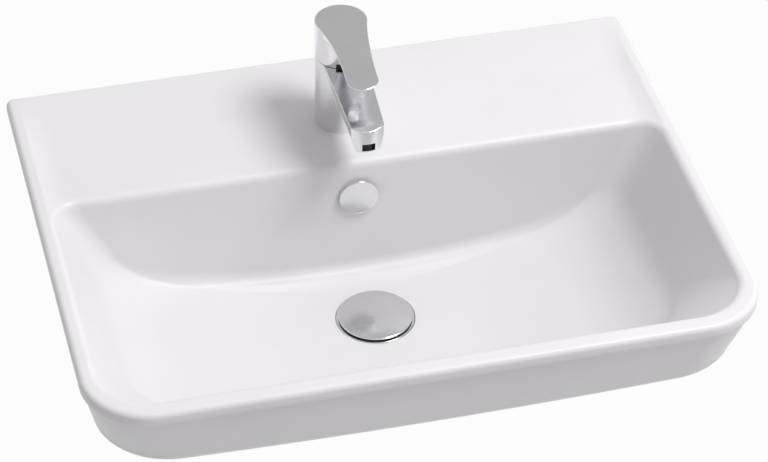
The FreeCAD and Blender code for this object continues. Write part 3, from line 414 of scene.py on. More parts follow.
def front_stretch(half, front, front_radius, bow):
    """The front corner and half of the front edge, which bows out a little."""
    points = around((half - front_radius, front + front_radius), front_radius, 0, -90, front_corner_steps)
    run = half - front_radius
    for i in range(front_steps):
        share = 1 - i / front_steps
        points.append((run * share, front - bow * (1 - share * share)))
    points.append((0, front - bow))
    return points


def bowl_ring(half, front, back, front_radius, back_radius):
    """A bowl ring: straight back, round corner, side, round corner, front, and the same mirrored."""
    points = between((0, back), (half - back_radius, back), back_steps)
    points += around((half - back_radius, back - back_radius), back_radius, 90, 0, corner_steps)
    points += between((half, back - back_radius), (half, front + front_radius), side_steps)
    return mirrored(points + front_stretch(half, front, front_radius, 0))


def outer_ring(inset, front_inset, bow, back):
    """An outer ring, whose steps beside the deck follow the line of its ledge."""
    half = half_width - inset
    front = front_inset - depth
    back_radius = back_corner - min(inset, rim_round)
    front_radius = front_corner - min(inset, apron_setback) + 2 * bow
    turn_y = opening_back - opening_back_corner
    ledge = min(ledge_inner, half - back_radius - mm)
    ledge_steps = 3
    turn_steps = 4
    points = between((0, back), (ledge, back), back_steps)
    points += between((ledge, back), (half - back_radius, back), ledge_steps)
    points += around((half - back_radius, back - back_radius), back_radius, 90, 0, turn_steps)
    points += between((half, back - back_radius), (half, turn_y), corner_steps - ledge_steps - turn_steps)
    points += between((half, turn_y), (half, front + front_radius), side_steps)
    return mirrored(points + front_stretch(half, front, front_radius, bow))


def top_height(x, y):
    """Height of the rim, and behind the bowl of the deck, which sinks from the wall and rises to ledges."""
    if y < opening_back - opening_back_corner - lip_round:
        return rim_top
    ledge = min(1.0, max(0.0, (abs(x) - ledge_inner) / (ledge_outer - ledge_inner))) ** ledge_power
    return rim_top - (rim_top - deck_top) * min(1.0, -y / ramp_run) * (1 - ledge)


def wall_sizes(side, front, back, extra):
    """Plan sizes of the bowl where its walls reach these depths, grown outward by extra."""
    return [
        opening_half - side_lean * side + extra,
        opening_front + front_lean * front - extra,
        opening_back - back_lean * back + extra,
        opening_front_corner + extra,
        opening_back_corner + extra,
    ]


foot_half, foot_front, foot_back = wall_sizes(side_foot_depth, front_foot_depth, back_foot_depth, 0)[:3]


def dish(x, y):
    """Height of the dished floor over the drain."""
    away = y - drain_y
    if away > 0:
        end = (bowl_depth - back_foot_depth) * min(1.0, (away / (foot_back - drain_y)) ** 2)
    else:
        end = (bowl_depth - front_foot_depth) * min(1.0, (away / (foot_front - drain_y)) ** 2)
    return (bowl_depth - side_foot_depth) * min(1.0, (x / foot_half) ** 2) + end


def about_drain(points, radius, share):
    """Ring points drawn towards a circle about the drain."""
    drawn = []
    for x, y in points:
        away = Vector((x, y - drain_y))
        place = away.lerp(away.normalized() * radius, share)
        drawn.append((place.x, drain_y + place.y))
    return drawn


def bowl_rings(extra, first):
    """Rings of the bowl from its edge to the drain: plan sizes, level, share of the dish, and how much
    higher a ring lies at the sides, where the foot is rounded more."""
    base = floor_z - extra
    depths = (side_foot_depth - side_rise, front_foot_depth - foot_rise, back_foot_depth - foot_rise)
    wall_end = wall_sizes(*depths, extra) + [base + foot_rise, 1.0, side_rise - foot_rise]
    foot = wall_sizes(side_foot_depth, front_foot_depth, back_foot_depth, extra) + [base, 1.0, 0.0]
    floor = list(foot)
    floor[0] -= side_blend
    floor[1] += front_blend
    floor[2] -= back_blend
    rings = [first]
    for share in (0.2, 0.4, 0.6, 0.8):
        rings.append(mixed(first, wall_end, share))
    for step in range(foot_steps + 1):
        rings.append(curved(wall_end, foot, floor, step / foot_steps))
    reach = drain_reach
    corner = drain_corner_share * reach
    drain = [reach, drain_y - reach, drain_y + reach, corner, corner, base, 0.0, 0.0]
    for step in range(1, floor_steps + 1):
        rings.append(mixed(floor, drain, step / floor_steps))
    return rings


def grow_rim(skin):
    """The opening's rounded edge, the flat rim and deck, and the rim's rounded outer edge."""
    grow = lip_round
    deck_grow = deck_edge_round
    lip = [opening_half + grow, opening_front - grow, opening_back + deck_grow,
           opening_front_corner + grow, opening_back_corner + deck_grow]
    corner = [opening_half, opening_front, opening_back, opening_front_corner, opening_back_corner]
    below = wall_sizes(lip_round, lip_round, deck_edge_round, 0)
    lip_points = bowl_ring(*lip)
    tops = [top_height(x, y) for x, y in lip_points]
    back_weights = [(rim_top - top) / (rim_top - deck_top) for top in tops]
    rounds = 8
    for step in range(rounds, -1, -1):
        share = step / rounds
        places = []
        for (x, y), top, weight in zip(bowl_ring(*curved(lip, corner, below, share)), tops, back_weights):
            fall = (lip_round + (deck_edge_round - lip_round) * weight) * share * share
            places.append((x, y, top - fall))
        skin.ring(places)
    flat = outer_ring(rim_round, rim_round, 0, -rim_round)
    flats = 18
    for step in range(1, flats + 1):
        points = [tuple(mixed(a, b, step / flats)) for a, b in zip(lip_points, flat)]
        skin.ring([(x, y, top_height(x, y)) for x, y in points])
    turns = 6
    for step in range(1, turns + 1):
        angle = math.pi / 2 * step / turns
        inset = rim_round * (1 - math.sin(angle))
        drop = rim_round * (1 - math.cos(angle))
        skin.ring([(x, y, top_height(x, y) - drop) for x, y in outer_ring(inset, inset, 0, -inset)])
    return back_weights


def grow_apron(skin):
    """The rim's lower rounding, the raked apron with its curled foot, and the apron's inside."""
    lower = deck_underside
    under_round = 4 * mm
    under_run = 0.5 * mm
    turn_in = 2 * mm
    skin.level_ring(outer_ring(0, 0, 0, 0), lower + under_round + under_run)
    for step in range(1, 5):
        angle = math.pi / 2 * step / 4
        inset = apron_setback * (1 - math.cos(angle))
        skin.level_ring(outer_ring(inset, inset, 0, 0), lower + under_round - under_round * math.sin(angle))
    for share in (0.06, 0.2, 0.4, 0.6, 0.8, 1.0):
        rake = share ** apron_rake_power
        points = outer_ring(
            apron_setback + apron_side_rake * rake, apron_setback + apron_front_rake * rake,
            apron_bow * rake, 0,
        )
        skin.level_ring(points, lower - apron_height * share)
    side = apron_setback + apron_side_rake
    front = apron_setback + apron_front_rake
    foot = lower - apron_height
    curl_end = math.radians(66)
    for step in range(1, 8):
        angle = curl_end * step / 7
        inward = apron_curl * (1 - math.cos(angle))
        points = outer_ring(side + inward, front + inward, apron_bow, 0)
        skin.level_ring(points, foot - apron_curl * math.sin(angle))
    low = foot - apron_curl * math.sin(curl_end)
    inner_side = side + shell
    inner_front = front + shell
    edge_soft = 0.2 * mm
    edge_rise = 1.5 * mm
    points = outer_ring(inner_side - edge_soft, inner_front - edge_soft, apron_bow, mm - panel_thickness)
    skin.level_ring(points, low - edge_soft)
    skin.level_ring(outer_ring(inner_side, inner_front, apron_bow, -panel_thickness), low + edge_rise)
    for share in (0.7, 0.4, 0.1):
        points = outer_ring(
            apron_setback + shell + apron_side_rake * share, apron_setback + shell + apron_front_rake * share,
            apron_bow * share, -panel_thickness,
        )
        skin.level_ring(points, lower - apron_height * share)
    turn = apron_setback + shell + edge_rise
    skin.level_ring(outer_ring(turn, turn, 0, -panel_thickness - turn_in), lower)


def grow_bowl(skin, back_weights):
    """The bowl's outside down to the drain boss, the drain, and the bowl's inside up to its edge."""
    def height(x, y, half, level, dish_share, side_extra):
        return level + dish_share * dish(x, y) + side_extra * (x / half) ** side_rise_power

    top_depth = rim_top - deck_underside
    top_sizes = wall_sizes(top_depth, top_depth, top_depth, shell - shell_thinning)
    outside = bowl_rings(shell, top_sizes + [deck_underside, 0.0, 0.0])
    for *plan, base, dish_share, side_extra in outside[:-1]:
        skin.ring([(x, y, height(x, y, plan[0], base, dish_share, side_extra)) for x, y in bowl_ring(*plan)])
    *plan, base, dish_share, side_extra = outside[-1]
    around_drain = bowl_ring(*plan)
    edge = 2 * mm
    for radius, z in (
        (boss_radius, base),
        (boss_radius, boss_foot + edge),
        (boss_radius - edge * 0.3, boss_foot + edge * 0.3),
        (boss_radius - edge, boss_foot),
        (hole_radius, boss_foot),
        (hole_radius, floor_z - seat_depth),
        (seat_radius, floor_z - seat_depth),
        (seat_radius, floor_z - 0.8 * seat_edge),
        (seat_radius + 0.3 * seat_edge, floor_z - 0.2 * seat_edge),
        (seat_radius + 0.9 * seat_edge, floor_z),
    ):
        skin.level_ring(about_drain(around_drain, radius, 1.0), z)
    start = wall_sizes(lip_round, lip_round, deck_edge_round, 0) + [rim_top - lip_round, 0.0, 0.0]
    step_down = (rim_top - deck_top) + deck_edge_round - lip_round
    inside = bowl_rings(0, start)
    for index, (*plan, base, dish_share, side_extra) in enumerate(inside[:0:-1]):
        points = bowl_ring(*plan)
        half = max(plan[0], max(x for x, y in points))
        if index < 2:
            points = about_drain(points, (points[0][1] - drain_y), 1.0 - 0.5 * index)
        fall = step_down * (1 - dish_share) if index > floor_steps else 0.0
        skin.ring([
            (x, y, height(x, y, half, base, dish_share, side_extra) - fall * weight)
            for (x, y), weight in zip(points, back_weights)
        ])


def basin_mesh():
    """The whole ceramic: rim, apron and bowl in one skin, then wall panel, webs and overflow duct."""
    skin = Skin(ring_count)
    back_weights = grow_rim(skin)
    grow_apron(skin)
    grow_bowl(skin, back_weights)
    wall_y = opening_back - back_lean * (rim_top - overflow_z)
    over = 4 * mm
    body = combined(skin.close(), [
        rod(tap_hole_radius, deck_underside - over, rim_top + over, 0, tap_y),
        lying_rod(overflow_radius, wall_y - over, wall_y + shell + over, 0, overflow_z),
    ], "DIFFERENCE")
    soft = 2.5 * mm
    panel = combined(
        block((-panel_half, -panel_thickness, panel_foot), (panel_half, 0, deck_underside + over), soft),
        [lying_rod(fixing_radius, -panel_thickness - over, over, x, 0) for x in (-fixing_half, fixing_half)],
        "DIFFERENCE",
    )
    webs = [
        block((x, opening_back, panel_foot + shell), (x + shell, -mm, deck_underside + over), soft)
        for x in (-panel_half, panel_half - shell)
    ]
    casing_half = 22 * mm
    casing_back = wall_y + shell + 15 * mm
    casing_foot = -108 * mm
    casing_top = 39 * mm
    duct_half = 15 * mm
    duct_front = wall_y + shell
    duct_depth = 8 * mm
    duct_foot = casing_foot + 7 * mm
    duct_top = casing_top - 7 * mm
    way_front = drain_y + 35 * mm
    way_top = -77.5 * mm
    casing = combined(
        block((-casing_half, wall_y + shell / 2, casing_foot), (casing_half, casing_back, casing_top), soft),
        [
            block((-duct_half, duct_front, duct_foot), (duct_half, duct_front + duct_depth, duct_top)),
            lying_rod(overflow_radius, wall_y - over, wall_y + shell + over, 0, overflow_z),
        ],
        "DIFFERENCE",
    )
    way = block((-casing_half, way_front, casing_foot), (casing_half, casing_back, way_top), soft)
    return gathered([body, panel, *webs, casing, way])


# Overflow, waste and plug

def cover_mesh():
    """A slightly crowned disc with a rounded edge, on the stub that holds it off the wall."""
    low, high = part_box("overflow_cover")
    radius = high.x
    crown = 0.5 * mm
    thick = 2.6 * mm
    soft = 1.1 * mm
    stub = 11.1 * mm
    length = high.y - low.y
    stub_bore = stub - 1.5 * mm
    stub_soft = 0.3 * mm
    disc = softened([
        (0, 0, 0), (radius * 0.6, crown * 0.36, 0), (radius, crown, soft), (radius, thick, soft * 0.4),
        (stub, thick, 0), (stub, length, stub_soft), (stub_bore, length, stub_soft), (stub_bore, thick, 0),
        (0, thick, 0),
    ])
    return laid_back(lathe(disc), low.y, overflow_z)


def plug_mesh():
    """The domed plate, with its rolled edge and the boss below it."""
    low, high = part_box("plug_plate")
    radius = high.x
    top = high.z
    under = -71.2 * mm
    crown = 1.8 * mm
    rolled = 1.0 * mm
    lower_round = 0.35 * mm
    boss = 6 * mm
    bore = 3.2 * mm
    soft = 0.3 * mm
    shares = (0.0, 0.15, 0.3, 0.45, 0.6, 0.72, 0.84, 0.93)
    dome = [(radius * share, top - crown * share * share, 0) for share in shares]
    return lathe(softened(dome + [
        (radius, top - crown, rolled), (radius, under, lower_round), (boss, under, soft),
        (boss, low.z, soft), (bore, low.z, 0), (bore, under, 0), (0, under, 0),
    ]), 0, drain_y, 128)


def seal_mesh():
    """The black lip seal under the plate."""
    low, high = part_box("plug_seal")
    outer = high.x
    inner = outer - 6 * mm
    soft = 0.6 * mm
    top_soft = 0.2 * mm
    lip_in = 0.8 * mm
    lip_rise = 0.7 * mm
    return lathe(softened([
        (inner, low.z, soft), (outer - lip_in, low.z, soft), (outer, low.z + lip_rise, soft * 0.5),
        (outer, high.z, top_soft), (inner, high.z, top_soft),
    ]), 0, drain_y, 128)


def thread_profile(radius, low, high, pitch, cut):
    """Ridges and grooves of a thread along an upright outline, from high to low."""
    points = []
    turns = int((high - low) / pitch)
    for turn in range(turns):
        top = high - pitch * turn
        points += [(radius, top - 0.15 * pitch, 0), (radius - cut, top - 0.5 * pitch, 0),
                   (radius, top - 0.85 * pitch, 0)]
    return points


def waste_mesh():
    """Flange, threaded tube with overflow slots, and the bridge with its hub."""
    low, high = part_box("waste_body")
    flange = high.x
    thread = 20.95 * mm
    bore = 17.5 * mm
    flange_foot = high.z - 3 * mm
    groove_top = -130.5 * mm
    groove_foot = -132 * mm
    pitch = 2.309 * mm
    cut = 0.7 * mm
    relief = 2 * mm
    mouth_round = 1.2 * mm
    flange_round = 0.9 * mm
    under_round = 0.2 * mm
    end_round = 0.4 * mm
    bore_round = 0.3 * mm
    profile = [(bore, high.z, mouth_round), (flange, high.z, flange_round)]
    profile += [(flange, flange_foot, under_round), (thread, flange_foot, 0)]
    profile += thread_profile(thread, groove_top + mm, flange_foot - relief, pitch, cut)
    profile += [(thread, groove_top, 0), (thread - mm, groove_top, 0), (thread - mm, groove_foot, 0)]
    profile += [(thread, groove_foot, 0)]
    profile += thread_profile(thread, low.z + mm, groove_foot - mm, pitch, cut)
    profile += [(thread, low.z, end_round), (bore, low.z, bore_round)]
    tube = lathe(softened(profile, 4), 0, drain_y)
    slot_top = flange_foot - 13 * mm
    slot_foot = slot_top - 12 * mm
    half = 7 * mm
    reach = thread + 3 * mm
    slots = [
        block((-x, drain_y - y, slot_foot), (x, drain_y + y, slot_top), 1.5 * mm)
        for x, y in ((half, reach), (reach, half))
    ]
    tube = combined(tube, slots, "DIFFERENCE")
    bridge_top = high.z - 36 * mm
    bridge_foot = bridge_top - 4 * mm
    bar = 2 * mm
    end = 18 * mm
    bars = [
        block((-x, drain_y - y, bridge_foot), (x, drain_y + y, bridge_top), 0.6 * mm)
        for x, y in ((end, bar), (bar, end))
    ]
    hub_bore = 3.2 * mm
    hub_radius = 7 * mm
    hub_round = 0.5 * mm
    hub = lathe(softened([
        (hub_bore, bridge_foot, 0), (hub_radius, bridge_foot, hub_round), (hub_radius, bridge_top, hub_round),
        (hub_bore, bridge_top, 0),
    ]), 0, drain_y, 48)
    return gathered([tube, *bars, hub])


def hex_nut_mesh(node, bore, y):
    """A hexagon nut with turned chamfers and a threaded bore."""
    low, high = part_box(node)
    across = (high.x - low.x) / 2
    corner = across if (high.y - low.y) / 2 < across else (high.y - low.y) / 2
    blank = bmesh.new()
    turn = 0.0 if corner == across else math.pi / 6
    bmesh.ops.create_cone(
        blank, cap_ends=True, segments=6, radius1=corner, radius2=corner, depth=high.z - low.z,
        matrix=Matrix.Translation((0, y, (low.z + high.z) / 2)) @ Matrix.Rotation(turn, 4, "Z"),
    )
    chamfer = corner * 0.09
    turned = lathe([
        (0, low.z - mm), (corner - 2 * chamfer, low.z - mm), (corner - 1.6 * chamfer, low.z),
        (corner, low.z + chamfer), (corner, high.z - chamfer), (corner - 1.6 * chamfer, high.z),
        (corner - 2 * chamfer, high.z + mm), (0, high.z + mm),
    ], 0, y)
    shaped = combined(blank, [turned], "INTERSECT")
    return combined(shaped, [rod(bore, low.z - mm, high.z + mm, 0, y)], "DIFFERENCE")


# Tap

def spout_top(y):
    """Height of the spout's top: level over the body, then a slow fall that steepens at the nose."""
    start = tap_y - tap_radius
    slow = spout_fall * max(0.0, start - y) / (start - shoulder_y)
    return tap_top - slow - nose_fall * (max(0.0, nose_start - y) / nose_run) ** 2


def nose_bulge(x):
    """How far the curved nose stands forward of its shoulder."""
    across = min(abs(x), nose_half)
    return math.sqrt(nose_round ** 2 - across ** 2) - math.sqrt(nose_round ** 2 - nose_half ** 2)


def spout_section(y):
    """Section across the spout: upright above, leaning inward below."""
    share = (tap_y - y) / (tap_y - shoulder_y)
    half = spout_half + (nose_half - spout_half) * min(1.0, share)
    foot_share = max(0.0, (tap_y - tap_radius - y) / (tap_y - tap_radius - shoulder_y))
    root_foot = tap_top - root_depth
    foot = root_foot + (nose_foot - root_foot) * min(1.0, foot_share)
    lean = (spout_half - under_half) / root_depth
    top = spout_top(y)
    knee = min(root_foot + (half - under_half) / lean, top - 1.4 * mm)
    under = under_half + lean * (foot - root_foot)
    foot_round = 1.5 * mm
    knee_round = 1.0 * mm
    top_round = 0.6 * mm
    level_half = under - 2 * mm
    shares = (0.9, 0.7, 0.5, 0.3, 0.1, -0.1, -0.3, -0.5, -0.7, -0.9)
    above = [(half * share, top, 0) for share in shares]
    below = [(-level_half * share, foot, 0) for share in shares]
    right = [(under, foot, foot_round), (half, knee, knee_round), (half, top, top_round)]
    left = [(-across, height, radius) for across, height, radius in right[::-1]]
    return softened(right + above + left + below), foot, top


def spout_mesh():
    """The tapering spout with its curved nose."""
    start = tap_y - tap_radius
    stations = [tap_y, start] + [start + (nose_start - start) * i / 8 for i in range(1, 9)]
    stations += [nose_start + (shoulder_y - nose_start) * i / 5 for i in range(1, 6)]
    skin = Skin(len(spout_section(tap_y)[0]))
    for y in stations:
        section, foot, top = spout_section(y)
        skin.ring([(x, y, z) for x, z in section])
    section, foot, top = spout_section(shoulder_y)
    middle = (foot + top) / 2
    for forward, inset in ((0.3, 0.0), (0.6, 0.0), (0.85, 0.0), (0.95, 0.0), (0.99, 0.008), (1.0, 0.03)):
        places = []
        for x, z in section:
            y = shoulder_y - nose_bulge(x) * forward
            share = (z - foot) / (top - foot)
            height = foot + share * (spout_top(y) - foot)
            places.append((x * (1 - inset), y, middle + (height - middle) * (1 - inset)))
        skin.ring(places)
    rim = places
    for share in (0.75, 0.5, 0.25, 0.08):
        places = []
        for x, y, z in rim:
            across = x * share
            places.append((across, shoulder_y - nose_bulge(across), middle + (z - middle) * share))
        skin.ring(places)
    return skin.cap()


def tap_mesh():
    """Body and spout in one casting, with its cavity, inlets, aerator seat and nose window."""
    soft = 0.5 * mm
    column = lathe(softened([
        (0, deck_top, 0), (tap_radius, deck_top, soft), (tap_radius, tap_top, soft), (0, tap_top, 0),
    ]), 0, tap_y, 128)
    casting = combined(column, [spout_mesh()], "UNION")
    over = 5 * mm
    groove_top = deck_top + 1.6 * mm
    groove = lathe([
        (groove_inner, deck_top - over), (groove_outer, deck_top - over), (groove_outer, groove_top),
        (groove_inner, groove_top),
    ], 0, tap_y)
    window_foot = nose_foot + 1.4 * mm
    window_top = nose_foot + 8.8 * mm
    cutters = [
        rod(cartridge_bore, tap_top - cartridge_depth, tap_top + over, 0, tap_y),
        rod(ring_nut_bore, tap_top - ring_nut_depth, tap_top + over, 0, tap_y),
        rod(stud_bore, deck_top - over, deck_top + stud_depth, 0, stud_y),
        rod(aerator_bore, nose_foot - over, nose_foot + aerator_depth, 0, aerator_y),
        block((-window_half, shoulder_y - 12 * mm, window_foot), (window_half, aerator_y, window_top)),
        groove,
    ]
    for x in (-inlet_half, inlet_half):
        cutters.append(rod(inlet_bore, deck_top - over, deck_top + inlet_depth, x, inlet_y, 48))
        cutters.append(rod(passage_bore, deck_top, tap_top - 29 * mm, x, inlet_y, 48))
    return combined(casting, cutters, "DIFFERENCE")


# Steps along half of the lever's outline, from the back of the hub to the middle of the tip
hub_steps = 44
waist_steps = 26
tip_steps = 18
hub_end = -24.0


def lever_outline():
    """Plan of the lever's top: round hub, waisted paddle and rounded tip."""
    centre = (0, tap_y)
    points = around(centre, tap_radius, 90, hub_end, hub_steps)
    start_y = tap_y + tap_radius * math.sin(math.radians(hub_end))
    for step in range(waist_steps):
        y = start_y + (corner_y - start_y) * step / waist_steps
        points.append((tip_half + waist_radius - math.sqrt(waist_radius ** 2 - (y - waist_y) ** 2), y))
    reach = math.sqrt(tip_round ** 2 - tip_half ** 2)
    first = -math.degrees(math.atan2(reach, tip_half))
    points += around((0, lever_tip_y + tip_round), tip_round, first, -90, tip_steps)
    points.append((0, lever_tip_y))
    return mirrored(points)


def hub_outline():
    """The hub's circle with as many points as the lever's outline."""
    centre = (0, tap_y)
    points = around(centre, tap_radius, 90, hub_end, hub_steps)
    points += around(centre, tap_radius, hub_end, -90, waist_steps + tip_steps)
    points.append((0, tap_y - tap_radius))
    return mirrored(points)


def lever_fall(y):
    """How far the paddle's top lies under the hub's top."""
    soft = 14 * mm
    away = lever_bend_y + soft / 2 - y
    if away <= 0:
        return 0.0
    if away < soft:
        return lever_slope * away * away / (2 * soft)
    return lever_slope * (away - soft / 2)


def lever_under(y):
    """Height of the skirt's lower edge, which rises behind the pivot so that the lever can tilt."""
    return lever_foot + lever_back_rise * max(0.0, y - tap_y) / tap_radius


def lever_mesh():
    """Hub, skirt and paddle in one casting, hollow over the dome, with the slot at its front."""
    outline = lever_outline()
    hub = hub_outline()
    skin = Skin(len(outline))

    def inward(point, amount):
        x, y = point
        spine = Vector((0, max(min(y, tap_y), lever_tip_y + tip_round)))
        away = Vector((x, y)) - spine
        return spine + away * (1 - amount / away.length)

    edge = 0.8 * mm
    places = [inward(point, 2 * edge) for point in outline]
    skin.ring([(p.x, p.y, lever_top - lever_fall(p.y)) for p in places])
    for angle in (0, 18, 36, 54, 72, 90):
        turn = math.radians(angle)
        places = [inward(point, edge * (1 - math.sin(turn))) for point in outline]
        drop = edge * (1 - math.cos(turn))
        skin.ring([(p.x, p.y, lever_top - lever_fall(p.y) - drop) for p in places])
    paddle_start = tap_y - 8 * mm
    paddle_full = tap_y - 17 * mm
    paddle = [1.0 - smooth(y, paddle_full, paddle_start) for x, y in outline]
    under_edge = ((0.35 * mm, 1.5 * mm), (1.1 * mm, 2.5 * mm), (2.4 * mm, 3.5 * mm))
    for inset, drop in under_edge:
        places = []
        for point, weight in zip(outline, paddle):
            p = inward(point, inset * weight)
            places.append((p.x, p.y, lever_top - lever_fall(p.y) - drop))
        skin.ring(places)
    rim = places
    under = lever_top - 10 * mm
    for step in range(1, 9):
        share = step / 8
        skin.ring([
            (x + (hx - x) * share, y + (hy - y) * share, z + (under - z) * share)
            for (x, y, z), (hx, hy) in zip(rim, hub)
        ])
    skirt_round = 0.4 * mm
    for share in (0.25, 0.5, 0.75):
        skin.ring([(x, y, under + (lever_under(y) + skirt_round - under) * share) for x, y in hub])
    centre = Vector((0, tap_y))
    for inset, rise in ((0.0, 0.4), (0.1, 0.15), (0.4, 0.0)):
        places = []
        for point in hub:
            away = Vector(point) - centre
            p = centre + away * (1 - inset * mm / away.length)
            places.append((p.x, p.y, lever_under(point[1]) + rise * mm))
        skin.ring(places)
    for share in (0.0, 0.15, 0.3, 0.45, 0.6, 0.75, 0.88, 0.97):
        places = []
        for x, y in hub:
            away = (Vector((x, y)) - centre).normalized()
            foot_angle = math.asin(max(-1.0, (lever_under(y) - pivot_z) / hollow_radius))
            angle = foot_angle + (math.pi / 2 - foot_angle) * share
            p = centre + away * hollow_radius * math.cos(angle)
            places.append((p.x, p.y, pivot_z + hollow_radius * math.sin(angle)))
        skin.ring(places)
    over = 4 * mm
    back = tap_y + tap_radius
    notch_low = (-notch_half, tap_y - tap_radius - over, lever_foot - 6 * mm)
    notch_high = (notch_half, tap_y, lever_foot + notch_rise)
    return combined(skin.cap(across=True), [
        block(notch_low, notch_high),
        lying_rod(grub_bore, tap_y + over, back - 2 * mm, 0, grub_z),
        lying_rod(cap_bore, back - cap_depth, back + over, 0, grub_z),
    ], "DIFFERENCE")


# Materials

def add_node(tree, kind, settings=None, links=None):
    """Adds a node, sets its values and links its inputs to other nodes' outputs."""
    node = tree.nodes.new(kind)
    for name, value in (settings or {}).items():
        if name in node.inputs:
            node.inputs[name].default_value = value
        else:
            setattr(node, name, value)
    for name, output in (links or {}).items():
        tree.links.new(output, node.inputs[name])
    return node


class Finish:
    """A material under construction, with helpers for its patterns."""

    def __init__(self, name, **values):
        self.material = bpy.data.materials.new(name)
        self.material.use_nodes = True
        self.tree = self.material.node_tree
        self.shader = self.tree.nodes["Principled BSDF"]
        for key, value in values.items():
            self.shader.inputs[key.replace("_", " ")].default_value = value
        self.place = add_node(self.tree, "ShaderNodeTexCoord").outputs["Object"]

    def noise(self, size, detail=3.0, stretch=None):
        """Cloudy noise whose features are about size across, stretched along an axis if asked."""
        place = self.place
        if stretch:
            place = add_node(self.tree, "ShaderNodeMapping", {"Scale": stretch}, {"Vector": place}).outputs[0]
        settings = {"Scale": 1 / size, "Detail": detail}
        return add_node(self.tree, "ShaderNodeTexNoise", settings, {"Vector": place}).outputs[0]

    def bands(self, pitch, direction="Z", kind="BANDS", distort=0.0):
        """Regular ridges a pitch apart."""
        settings = {"Scale": 0.314 / pitch, "wave_type": kind, "Distortion": distort}
        settings["bands_direction" if kind == "BANDS" else "rings_direction"] = direction
        return add_node(self.tree, "ShaderNodeTexWave", settings, {"Vector": self.place}).outputs[1]

    def ranged(self, value, low, high):
        settings = {"From Min": 0.3, "From Max": 0.7, "To Min": low, "To Max": high}
        return add_node(self.tree, "ShaderNodeMapRange", settings, {"Value": value}).outputs[0]

    def colour(self, first, second, size, detail=3.0):
        """Two colours in clouds about size across."""
        share = self.ranged(self.noise(size, detail), 0.0, 1.0)
        settings = {"Color1": hex_colour(first), "Color2": hex_colour(second)}
        made = add_node(self.tree, "ShaderNodeMixRGB", settings, {"Fac": share}).outputs[0]
        self.tree.links.new(made, self.shader.inputs["Base Color"])

    def roughness(self, low, high, size, detail=3.0, stretch=None):
        """Roughness between two values, in clouds about size across."""
        value = self.ranged(self.noise(size, detail, stretch), low, high)
        self.tree.links.new(value, self.shader.inputs["Roughness"])

    def bump(self, *layers):
        """Bumps of (pattern, height in metres), one over another."""
        normal = None
        for value, height in layers:
            links = {"Height": value}
            if normal:
                links["Normal"] = normal
            settings = {"Distance": height, "Strength": 1.0}
            normal = add_node(self.tree, "ShaderNodeBump", settings, links).outputs[0]
        self.tree.links.new(normal, self.shader.inputs["Normal"])


def vitreous_glaze():
    """Thick white glaze: nearly even, a trace cooler in places, with a faint orange peel."""
    made = Finish("vitreous_glaze", IOR=1.5, Specular_IOR_Level=0.42)
    made.colour("DAD8DA", "DDDBDD", 90 * mm)
    made.roughness(0.34, 0.42, 35 * mm)
    made.bump((made.noise(9 * mm, 2.0), 0.018 * mm), (made.noise(1.6 * mm, 2.0), 0.0025 * mm))
    return made.material


def chrome_plate():
    """Chrome with a soft sheen: bright, with faint wiping haze and the casting's soft waviness."""
    made = Finish("chrome_plate", Metallic=1.0)
    made.colour("E6E6E8", "ECECEE", 30 * mm)
    made.roughness(0.15, 0.21, 7 * mm, 4.0)
    made.bump((made.noise(22 * mm, 1.0), 0.02 * mm), (made.noise(0.5 * mm, 2.0), 0.0004 * mm))
    return made.material


def turned_brass():
    """Bare brass from the lathe: fine tool rings and a duller oxide in patches."""
    made = Finish("turned_brass", Metallic=1.0)
    made.colour("B8964F", "D0AE66", 8 * mm, 4.0)
    made.roughness(0.24, 0.42, 2 * mm, 4.0)
    made.bump((made.bands(0.4 * mm, distort=0.6), 0.006 * mm), (made.noise(0.8 * mm), 0.004 * mm))
    return made.material


def zinc_steel():
    """Bright zinc plate: bluish, with drawn streaks and tiny crystals."""
    made = Finish("zinc_steel", Metallic=1.0)
    made.colour("A9ACB2", "C2C4C8", 4 * mm, 4.0)
    made.roughness(0.26, 0.40, 3 * mm, 3.0, (1, 1, 0.08))
    made.bump((made.noise(0.6 * mm, 3.0), 0.005 * mm))
    return made.material


def threaded_steel():
    """Zinc-plated rod with rolled thread ridges 1.25 mm apart."""
    made = Finish("threaded_steel", Metallic=1.0)
    made.colour("9C9FA6", "BDBFC4", 3 * mm, 4.0)
    made.roughness(0.28, 0.44, 1 * mm)
    made.bump((made.bands(1.25 * mm), 0.35 * mm))
    return made.material


def black_rubber():
    """Moulded rubber: dusty black with a soft grain."""
    made = Finish("black_rubber")
    made.colour("0E0E10", "1A1A1C", 5 * mm, 4.0)
    made.roughness(0.48, 0.66, 1.5 * mm)
    made.bump((made.noise(0.35 * mm, 3.0), 0.012 * mm))
    return made.material


def white_acetal():
    """Moulded white plastic, faintly warm, with a fine eroded grain."""
    made = Finish("white_acetal")
    made.colour("E3E2DB", "EBEAE4", 10 * mm)
    made.roughness(0.34, 0.46, 2 * mm)
    made.bump((made.noise(0.3 * mm, 3.0), 0.006 * mm))
    return made.material


def black_acetal_and_painted_shade():
    """Moulded black plastic with a fine eroded grain. On the dome cover under the lever, which is chrome, it
    is a dark sheet of painted shade in the gap and slot under the lever.
    """
    made = Finish("black_acetal_and_painted_shade")
    made.colour("101113", "191A1C", 6 * mm)
    made.roughness(0.30, 0.44, 1.2 * mm)
    made.bump((made.noise(0.3 * mm, 3.0), 0.006 * mm))
    return made.material


def lapped_alumina():
    """Dense ivory ceramic, lapped to a satin sheen."""
    made = Finish("lapped_alumina")
    made.colour("E2DBCB", "EBE6DA", 1.2 * mm, 4.0)
    made.roughness(0.14, 0.22, 3 * mm)
    made.bump((made.noise(0.2 * mm), 0.001 * mm))
    return made.material


def grey_cap_plastic():
    """The small neutral plug in the lever: glossy grey plastic."""
    made = Finish("grey_cap_plastic")
    made.colour("9DA1A8", "A9ADB3", 2 * mm)
    made.roughness(0.18, 0.28, 1 * mm)
    made.bump((made.noise(0.4 * mm), 0.003 * mm))
    return made.material


